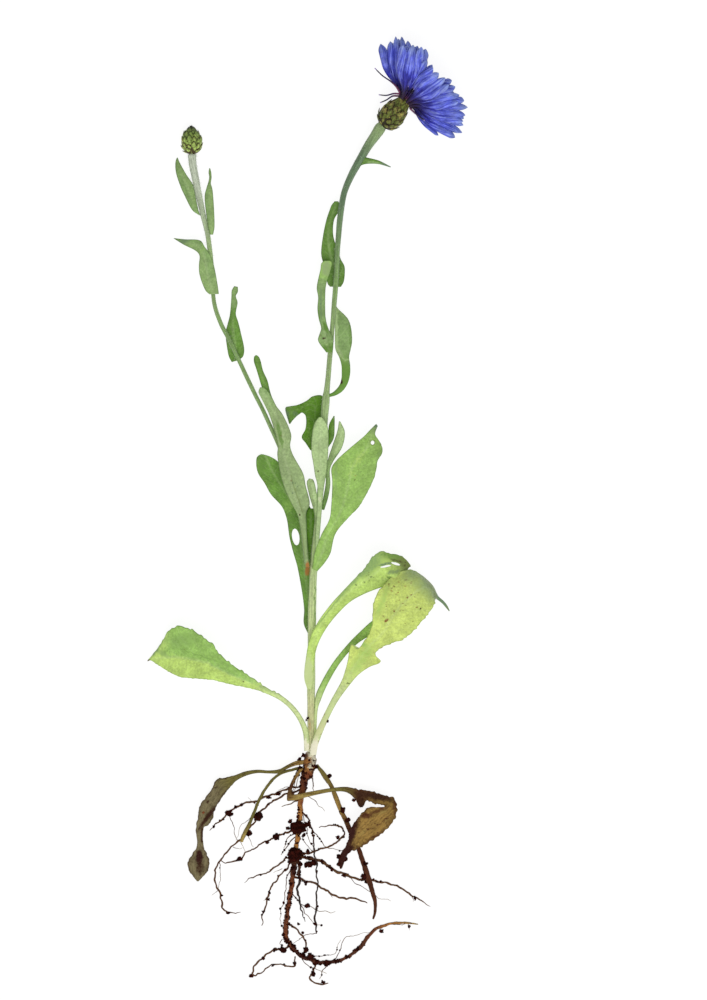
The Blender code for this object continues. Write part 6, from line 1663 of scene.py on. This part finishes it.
def make_dead_petioles():
    for seed, (name, rows) in enumerate(DEAD_PETIOLES.items()):
        finish = withered_material(name + "_finish", DEAD_PETIOLE_TONES[seed])
        show_tube(name, "_furrowed", rows, 0.4, 14, gnarled(0.20, 40 + seed), finish, "withered_leaf")


def wandering(rows, spacing, amount, seed):
    """A root's route with small bends added between its ends."""
    rows = smooth_rows(rows, spacing)
    along = run_length(rows[:, :3])[:, None]
    calm = step(0, 2.0, along[:, 0]) * (1 - step(along[-1, 0] - 1.0, along[-1, 0], along[:, 0]))
    for axis, scale in enumerate((1.0, 1.0, 0.35)):
        rows[:, axis] += amount * scale * waves(along, 5.5, seed + axis, 3) * calm
    rows[:, 3] *= 1 + 0.16 * waves(along, 2.8, seed + 5, 3)
    return rows


def make_roots():
    finish = root_material("root_crown_finish", "0 bark_dark, 0.8 bark", 0.14)
    show_tube("root_crown", "_bark", ROOT_CROWN, 0.3, 28, gnarled(0.16, 11), finish, "root_bark")
    # The taproot is slimmer than its node down the shaft, and stouter in its curled tail
    rows = [(x, y, z, radius * (1.25 if x > 12 else 0.84 if y < -8 else 1)) for x, y, z, radius in TAPROOT]
    finish = root_material("taproot_finish", TAPROOT_TONES, 0.02)
    tap = wandering(rows, 0.4, 0.14, 12)
    show_tube("taproot", "_bark", tap, 0.4, 22, gnarled(0.14, 12), finish, "root_bark")
    living = root_material("side_root_finish", "0 bark_dark, 0.2 rootlet, 1 rootlet", 0.04)
    dead = root_material("dead_root_finish", "0 bark_dark, 0.4 dead_root, 1 dead_root", 0.0)
    for seed, (side, rows) in enumerate(LATERAL_ROOTS.items(), 20):
        finish = dead if side in ("right_4", "right_5") else living
        rows = wandering(rows, 0.4, 0.30, seed)
        show_tube("lateral_root_" + side, "_bark", rows, 0.4, 10, gnarled(0.18, seed), finish, "root_bark")


def make_fine_roots():
    meshes = []
    for seed, (radius, route) in enumerate(FINE_ROOTS, 60):
        last = len(route) - 1
        rows = [(x, y, 0.35 if k else 0.9, radius * (1 - 0.6 * k / last)) for k, (x, y) in enumerate(route)]
        rows = wandering(rows, 0.4, 0.30, seed)
        meshes.append(tube_mesh(f"fine_root_{seed}", rows, 0.4, 6, gnarled(0.15, seed)))
    mesh = joined("fine_roots", meshes)
    finish = root_material("fine_root_finish", "0 bark_dark, 0.4 rootlet, 1 dead_brown", -0.04)
    show("fine_roots", mesh, finish, "root_bark")


def lump_mesh(name, centre, radii, seed):
    """A rough lump of soil."""
    def roughness(at):
        place = at * 1.7 + Vector((seed * 3.1, 0, 0))
        return 0.42 * noise.noise(place) + 0.30 * noise.noise(place * 2.6) + 0.16 * noise.noise(place * 6.1)
    points, faces = rough_ball(4, roughness)
    return build_mesh(name, points * radii + centre, faces)


def soiled(mesh, base):
    """Marks where crumbs grow on a mesh: everywhere a little, and thickly at the soil spots."""
    plan = (np.array([vert.co for vert in mesh.vertices]) - COLLAR)[:, :2] / MM
    growth = np.full(len(plan), base)
    for x, y, reach in SOIL_SPOTS:
        growth += np.exp(-(((plan - (x, y)) ** 2).sum(axis=1) / reach**2))
    clumps = np.clip(0.5 + waves(plan, 2.6, 8, 3), 0, 1) ** 2
    keep(mesh, "growth", np.clip(growth, 0, 1.6) * clumps * 2)
    return mesh


def make_soil():
    finish = soil_material()
    for seed, (name, (centre, radii)) in enumerate(SOIL_CLODS.items()):
        lump = lump_mesh(name + "_lump", centre, radii, seed + 2)
        show(name + "_lump", lump, finish, "soil", name)
    draw = random.Random(5)
    places = []
    for x, y, z, width in SOIL_LUMPS:
        width = width * 0.9
        for share, reach in SOIL_LUMP_PARTS:
            angle = draw.uniform(0, math.tau)
            away = reach * width
            places.append((
                (x + away * math.cos(angle), y + away * math.sin(angle), z),
                [draw.uniform(0, math.tau) for _ in range(3)],
                [width * share * draw.uniform(0.8, 1.15) for _ in range(3)],
            ))
    show("soil_lumps", stood("soil_lumps", places, crumb_mesh(3, 9), finish), finish, "soil")

    roots = [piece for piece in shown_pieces() if piece.name.endswith("_bark") or piece.name == "fine_roots"]
    carrier = soiled(joined("soiled_roots", [piece.data.copy() for piece in roots]), 0.05)
    crumbs = grown(
        "soil_crumbs", scatter_tree, carrier, crumb_mesh(2, 3), Material=finish, Smallest=0.16, Largest=0.75,
        Density=sizes().crumb_density / MM**2, Lean=3.0, Seed=4,
    )
    show("soil_crumbs", crumbs, finish, "soil")


def bract_mesh():
    """One pointed scale, 1 mm wide each way from its middle: it runs along +Z and faces +X."""
    rows, columns = 15, 9
    along = np.linspace(0, 1, rows)
    outline = np.interp(along, [0, 0.2, 0.4, 0.6, 0.78, 0.92, 1], [0.55, 0.85, 1.0, 0.94, 0.66, 0.28, 0.04])
    points, scale = [], []
    for i, (share, wide) in enumerate(zip(along, outline)):
        comb = SCALE_FRINGE * (i % 2) * float(step(0.3, 0.5, share))
        for side in np.linspace(-1, 1, columns):
            outer = abs(side) ** 6 * comb * 0.25
            bow = 0.28 * (1 - side * side * wide) + 0.10 * math.sin(share * math.pi) - 0.30 * share**2
            points.append((bow - 0.35, side * (wide + outer), share * 2.2 + outer * 0.5))
            rim = max(abs(side) * float(step(0.25, 0.55, share)), share**2.2)
            scale.append((rim, share, side))
    thin = np.full(len(points), 0.05)
    values = {"scale": np.array(scale)}
    return thicken("bract", np.array(points), grid_faces(rows, columns), thin, thin, values, origin=0)


def spiral_places(base, axis, profile, start, end, widths, lengths):
    """(point, turn, size) places along a golden-angle spiral on a turned cup."""
    along, left, above = axis_frame(axis)
    distances, radii = np.array(profile).T
    total = sizes().bract_count
    places = []
    draw = random.Random(total)
    cup_frame = Matrix((above, left, along)).transposed()
    if cup_frame.determinant() < 0:
        cup_frame = Matrix((above, -left, along)).transposed()
    for k in range(total):
        share = k / (total - 1)
        distance = start + (end - start) * share**0.85
        before, here, after = np.interp((distance - 0.2, distance, distance + 0.2), distances, radii)
        turn = Matrix.Rotation(k * GOLDEN + draw.uniform(-0.09, 0.09), 3, "Z")
        slope = math.atan((after - before) / 0.4)
        lean = Matrix.Rotation(slope + SCALE_LEAN + draw.uniform(-0.05, 0.08), 3, "Y")
        lean = lean @ Matrix.Rotation(draw.uniform(-0.16, 0.16), 3, "X")
        out = cup_frame @ (turn @ Vector((here - SCALE_SINKS, 0, 0)))
        point = np.asarray(base) + along * distance + np.array(out)
        size = [np.interp(share, (0, 0.5, 1), spans) * draw.uniform(0.88, 1.1) for spans in (widths, lengths)]
        places.append((point, tuple((cup_frame @ turn @ lean).to_euler("XYZ")), (0.8, *size)))
    return places


def cup_mesh(name, base, axis, profile, sides):
    """The solid cup under the scales."""
    profile = smooth_rows([(d, r, 0) for d, r in profile], 0.4)[:, :2]
    profile[:, 1] = np.maximum(profile[:, 1] - CUP_INSET, 0.05)
    tip = np.asarray(base) + unit(axis) * profile[-1][0]
    points = np.vstack([*cup_rings(base, axis, profile, sides), base, tip])
    values = {"scale": np.tile((0.9, 0.2, 0.3), (len(points), 1))}
    return build_mesh(name, points, tube_faces(len(profile), sides), values)


def make_heads():
    """The flower's and the bud's cups."""
    crown = COLLAR[1] + (BUD_BASE[1] + BUD_CROWN) * MM
    heads = (  # node, cup, where its scales start and end, their widths and lengths, their look
        ("flower_involucre", (HEAD_BASE, HEAD_AXIS, HEAD_PROFILE),
         (-0.4, 8.9, (0.8, 0.92, 0.6), (0.75, 1.1, 1.3)), (tone("bract_green"), 0.016, None)),
        ("bud_involucre", (BUD_BASE, BUD_AXIS, BUD_PROFILE),
         (0.15, 7.6, (0.72, 0.86, 0.40), (0.75, 1.1, 0.8)), ((0.37, 0.50, 0.11), 0.035, crown)),
    )
    for name, cup, scales, look in heads:
        finish = bract_material(name + "_finish", *look)
        show(name + "_cup", cup_mesh(name + "_cup", *cup, 32), finish, "bract", name)
        places = spiral_places(*cup, *scales)
        show(name + "_bracts", stood(name + "_bracts", places, bract_mesh(), finish), finish, "bract")


def floret_spine(place, heading, rise, share):
    """A ray floret's line: it leaves the head along the axis and bends to its own heading."""
    along, left, above = axis_frame(HEAD_AXIS)
    mouth = np.asarray(HEAD_BASE) + along * (HEAD_PROFILE[-1][0] - FLORET_SINKS)
    turn, h, e = np.radians((place, heading, rise))
    point = mouth + FLORET_RING_RADIUS * (math.sin(turn) * left + math.cos(turn) * above)
    aim = np.array([math.cos(h) * math.cos(e), math.sin(h) * math.cos(e), math.sin(e)])
    rows, before = [], 0.0
    for part in FLORET_SHARES:
        bent = min(1.0, part / FLORET_BEND_ENDS)
        climb = np.array([0, 0, FLORET_ARCH * (0.5 - part)])
        direction = unit(along * (1 - bent) + aim * bent + climb)
        point = point + direction * (FLORET_LENGTH * share + FLORET_SINKS) * (part - before)
        before = part
        rows.append(tuple(point))
    return np.array(rows)


def floret_mesh(number, place, heading, rise, share, lobes, limb):
    """A funnel that opens into pointed lobes, and that lies flat where it meets the table."""
    each = sizes().lobe_columns
    columns, body_rows, lobe_rows, notch = lobes * each + 1, 30, 16, 0.825
    draw = random.Random(100 + number)
    turns = [draw.uniform(-0.10, 0.10) for _ in range(lobes)]
    reaches = [draw.uniform(0.94, 1.02) * (1 - 0.07 * abs(2 * (k + 0.5) / lobes - 1)) for k in range(lobes)]
    splits = [draw.uniform(0.0, 0.16) for _ in range(lobes)]
    curls = [draw.uniform(-0.7, 0.7) for _ in range(lobes)]
    phase = draw.uniform(0, math.tau)

    # For each point: the share along the floret, the place across its funnel and its lobe, and a curl
    grid = []
    for s in np.linspace(0, notch, body_rows):
        for j, a in enumerate(np.linspace(-1, 1, columns)):
            grid.append((s, a, 1.0 if j == columns - 1 else (j % each) / each * 2 - 1, 0.0))
    faces = grid_faces(body_rows, columns).tolist()
    for k in range(lobes):
        middle = 2 * (k + 0.5) / lobes - 1
        above = (body_rows - 1) * columns + k * each
        for t in np.arange(1, lobe_rows + 1) / lobe_rows:
            past = max(0.0, (t - splits[k]) / (1 - splits[k]))
            wide = max(0.03, (1 - past**1.9) ** 0.85)
            now = len(grid)
            for side in np.arange(each + 1) / each * 2 - 1:
                a = middle + side * wide / lobes + turns[k] * past * 0.5
                curl = curls[k] * past**2 * 0.8 + 0.2 * side**2 * past
                grid.append((notch + (reaches[k] - notch) * t, a, side, curl))
            faces += [(above + j, above + j + 1, now + j + 1, now + j) for j in range(each)]
            above = now
    s, a, side, curl = np.array(grid).T

    spine = smooth_rows(floret_spine(place, heading, rise, share), 0.35)
    distance = run_length(spine)
    where = s * distance[-1]
    centre, tangent = (
        np.column_stack([np.interp(where, distance, line[:, axis]) for axis in range(3)])
        for line in (spine, carried_frames(spine)[0])
    )
    tangent = unit(tangent)
    level = unit(np.cross((0, 0, 1), tangent))
    cup = -math.cos(math.radians(place))
    facing = math.copysign(1, cup)
    opened = step(0.02, 0.42, s)
    half_angle = NECK_HALF_ANGLE * (1 - opened) + LIMB_HALF_ANGLE * opened
    broadening = 0.85 * step(0.10, 0.62, s) + 0.15 * s
    half_width = NECK_HALF_WIDTH + (limb - NECK_HALF_WIDTH) * broadening
    radius, angle = half_width / half_angle, a * half_angle
    depth = facing * (1 - opened + max(abs(cup), 0.30) * opened)
    pleat = 0.30 * step(0.25, 0.7, s) * np.cos(math.pi * side)
    wave = 0.35 * step(0.4, 1.0, s) * np.sin(a * 3.1 + phase)
    lift = depth * radius * (0.75 - np.cos(angle)) + curl + pleat + wave
    points = centre + (radius * np.sin(angle))[:, None] * level + lift[:, None] * np.cross(tangent, level)
    low = points[:, 2] - RESTING_HEIGHT
    points[:, 2] = RESTING_HEIGHT + (low + np.sqrt(low**2 + 0.3)) / 2
    thin = np.full(len(points), sizes().floret_thickness / 2)
    values = {"blade": per_point(a * (1.2 + 3 * s), where, number * 7), "place": per_point(side, s, a)}
    return thicken(f"ray_floret_{number:02d}_lobed", points, np.array(faces)[:, ::-1], thin, thin, values)


def make_ray_florets():
    finish = petal_material()
    for number, floret in enumerate(RAY_FLORETS, 1):
        mesh = floret_mesh(number, *floret)
        show(mesh.name, mesh, finish, "ray_floret", f"ray_floret_{number:02d}")


def make_disc_florets():
    """A bundle of slender tubes with flared mouths and anthers, and a few stray styles."""
    along, left, above = axis_frame(HEAD_AXIS)
    mouth = np.asarray(HEAD_BASE) + along * (HEAD_PROFILE[-1][0] - DISC_SINKS)
    draw = random.Random(8)
    places = []
    total = sizes().disc_count
    for k in range(total):
        spread, angle = math.sqrt((k + 0.5) / total), k * GOLDEN
        out = math.cos(angle) * left + math.sin(angle) * above
        direction = Vector(unit(along + out * spread * DISC_LEAN))
        spin = Matrix.Rotation(draw.uniform(0, math.tau), 4, "Z")
        turned = (direction.to_track_quat("Z", "Y").to_matrix().to_4x4() @ spin).to_euler("XYZ")
        size = draw.uniform(0.40, 0.56)
        places.append((mouth + out * spread * DISC_SPREAD, tuple(turned), (size * 1.6, size * 1.6, size)))
    finish = disc_material()
    floret = tube_mesh("disc_floret", DISC_FLORET, 0.5, 8, origin=0)
    bundle = stood("disc_florets_bundle", places, floret, finish)
    show("disc_florets_bundle", bundle, finish, "disc_floret", "disc_florets")
    threads = []
    for position, route in enumerate(STRAY_STYLES):
        last = len(route) - 1
        rows = [(*point, 0.30 - 0.14 * k / last) for k, point in enumerate(route)]
        threads.append(tube_mesh(f"stray_style_{position}", rows, 0.3, 8))
    show("stray_styles", joined("stray_styles", threads), finish, "disc_floret")


def make_wool():
    """Hairs on the two stalks, thickest below the bud."""
    finish = wool_material()
    for name, reach in WOOL_GROWTH.items():
        surface = bpy.data.objects[name + "_ribbed"].data.copy()
        place = np.empty(len(surface.vertices) * 3)
        surface.attributes["place"].data.foreach_get("vector", place)
        keep(surface, "growth", np.interp(place[1::3], *zip(*reach)))
        wool = grown(
            name + "_wool", scatter_tree, surface, hair_mesh(), Material=finish, Smallest=0.35, Largest=0.95,
            Density=sizes().wool_density / MM**2, Lean=1.25, Seed=2,
        )
        show(name + "_wool", wool, finish, "stalk")


def make_stage():
    scene = bpy.context.scene
    settings = scene.cornflower_stage
    half = settings.floor_width / 2
    mesh = bpy.data.meshes.new("floor")
    corners = [(-half, -half, 0), (half, -half, 0), (half, half, 0), (-half, half, 0)]
    mesh.from_pydata(corners, [], [(0, 1, 2, 3)])
    floor = Surface("pale_floor", 0.9, 0.0)
    for key, value in (("Base Color", (FLOOR_GREY, FLOOR_GREY, FLOOR_GREY, 1)),
                       ("Emission Color", (1, 1, 1, 1)), ("Emission Strength", FLOOR_GLOW)):
        floor.shader.inputs[key].default_value = value
    mesh.materials.append(floor.material)
    placed("floor", mesh)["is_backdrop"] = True

    world = bpy.data.worlds.new("soft_light")
    world.use_nodes = True
    background = world.node_tree.nodes["Background"]
    background.inputs["Color"].default_value = (1, 1, 1, 1)
    background.inputs["Strength"].default_value = settings.sky_strength
    scene.world = world

    lamp = bpy.data.lights.new("soft_lamp", "AREA")
    lamp.shape = "SQUARE"
    lamp.size = LAMP_WIDTH
    lamp.energy = settings.lamp_power
    lit = placed("soft_lamp", lamp)
    lit.location = LAMP_PLACE
    lit.rotation_euler = (-lit.location).to_track_quat("-Z", "Y").to_euler()

    data = bpy.data.cameras.new("camera")
    data.lens = settings.lens
    data.sensor_width = SENSOR_WIDTH
    data.clip_end = 20
    scene.camera = placed("camera", data)
    scene.camera.location = (settings.camera_x, settings.camera_y, settings.camera_height)
    scene.view_settings.view_transform = "Standard"


# ---- Operators and panel ----


class BuildStage(bpy.types.Operator):
    """Make the floor, the soft light and the camera"""

    bl_idname = "cornflower.stage"
    bl_label = "Stage"

    def execute(self, context):
        make_stage()
        return {"FINISHED"}


class BuildStems(bpy.types.Operator):
    """Make the main stem and the bud's stalk"""

    bl_idname = "cornflower.stems"
    bl_label = "Stems"

    def execute(self, context):
        make_stems()
        return {"FINISHED"}


class BuildRosette(bpy.types.Operator):
    """Make the four leaves at the collar"""

    bl_idname = "cornflower.rosette"
    bl_label = "Rosette"

    def execute(self, context):
        make_leaves(ROSETTE)
        return {"FINISHED"}


class BuildCluster(bpy.types.Operator):
    """Make the cluster of leaves half-way up the stem"""

    bl_idname = "cornflower.cluster"
    bl_label = "Stem leaves"

    def execute(self, context):
        make_leaves(CLUSTER)
        return {"FINISHED"}


class BuildStalkLeaves(bpy.types.Operator):
    """Make the small leaves of the flower's and the bud's stalks"""

    bl_idname = "cornflower.stalk_leaves"
    bl_label = "Stalk leaves"

    def execute(self, context):
        make_leaves(STALK_LEAVES)
        return {"FINISHED"}


class BuildWithered(bpy.types.Operator):
    """Make last year's leaves and dead petioles"""

    bl_idname = "cornflower.withered"
    bl_label = "Withered leaves"

    def execute(self, context):
        make_leaves(WITHERED_LEAVES)
        make_dead_petioles()
        return {"FINISHED"}


class BuildRoots(bpy.types.Operator):
    """Make the crown, the taproot, the side roots and the finest roots"""

    bl_idname = "cornflower.roots"
    bl_label = "Roots"

    def execute(self, context):
        make_roots()
        make_fine_roots()
        return {"FINISHED"}


class BuildSoil(bpy.types.Operator):
    """Make the clods, lumps and crumbs of soil on the roots"""

    bl_idname = "cornflower.soil"
    bl_label = "Soil"

    def execute(self, context):
        make_soil()
        return {"FINISHED"}


class BuildHeads(bpy.types.Operator):
    """Make the scaly cups of the flower and the bud"""

    bl_idname = "cornflower.heads"
    bl_label = "Scaly cups"

    def execute(self, context):
        make_heads()
        return {"FINISHED"}


class BuildFlorets(bpy.types.Operator):
    """Make the blue ray florets and the violet disc florets"""

    bl_idname = "cornflower.florets"
    bl_label = "Florets"

    def execute(self, context):
        make_ray_florets()
        make_disc_florets()
        return {"FINISHED"}


class BuildWool(bpy.types.Operator):
    """Make the hairs on the stalks"""

    bl_idname = "cornflower.wool"
    bl_label = "Wool"

    def execute(self, context):
        make_wool()
        return {"FINISHED"}


BUILD_ORDER = (
    BuildStage, BuildStems, BuildRosette, BuildCluster, BuildStalkLeaves, BuildWithered, BuildRoots,
    BuildSoil, BuildHeads, BuildFlorets, BuildWool,
)


class CornflowerPanel(bpy.types.Panel):
    """Lists the plant's pieces in the order in which they are made"""

    bl_idname = "VIEW3D_PT_cornflower"
    bl_label = "Cornflower Plant"
    bl_space_type = "VIEW_3D"
    bl_region_type = "UI"
    bl_category = "Cornflower"

    def draw(self, context):
        for operator in BUILD_ORDER:
            self.layout.operator(operator.bl_idname)
        for settings in (context.scene.cornflower_sizes, context.scene.cornflower_stage):
            column = self.layout.column(align=True)
            for key in settings.__annotations__:
                column.prop(settings, key)


CLASSES = (CornflowerPalette, CornflowerSizes, CornflowerStage, *BUILD_ORDER, CornflowerPanel)


def register():
    for made in CLASSES:
        bpy.utils.register_class(made)
    bpy.types.Scene.cornflower_palette = PointerProperty(type=CornflowerPalette)
    bpy.types.Scene.cornflower_sizes = PointerProperty(type=CornflowerSizes)
    bpy.types.Scene.cornflower_stage = PointerProperty(type=CornflowerStage)


def unregister():
    for key in ("cornflower_palette", "cornflower_sizes", "cornflower_stage"):
        delattr(bpy.types.Scene, key)
    for made in reversed(CLASSES):
        bpy.utils.unregister_class(made)


def main():
    register()
    for operator in BUILD_ORDER:
        family, action = operator.bl_idname.split(".")
        getattr(getattr(bpy.ops, family), action)()


if __name__ == "__main__":
    main()
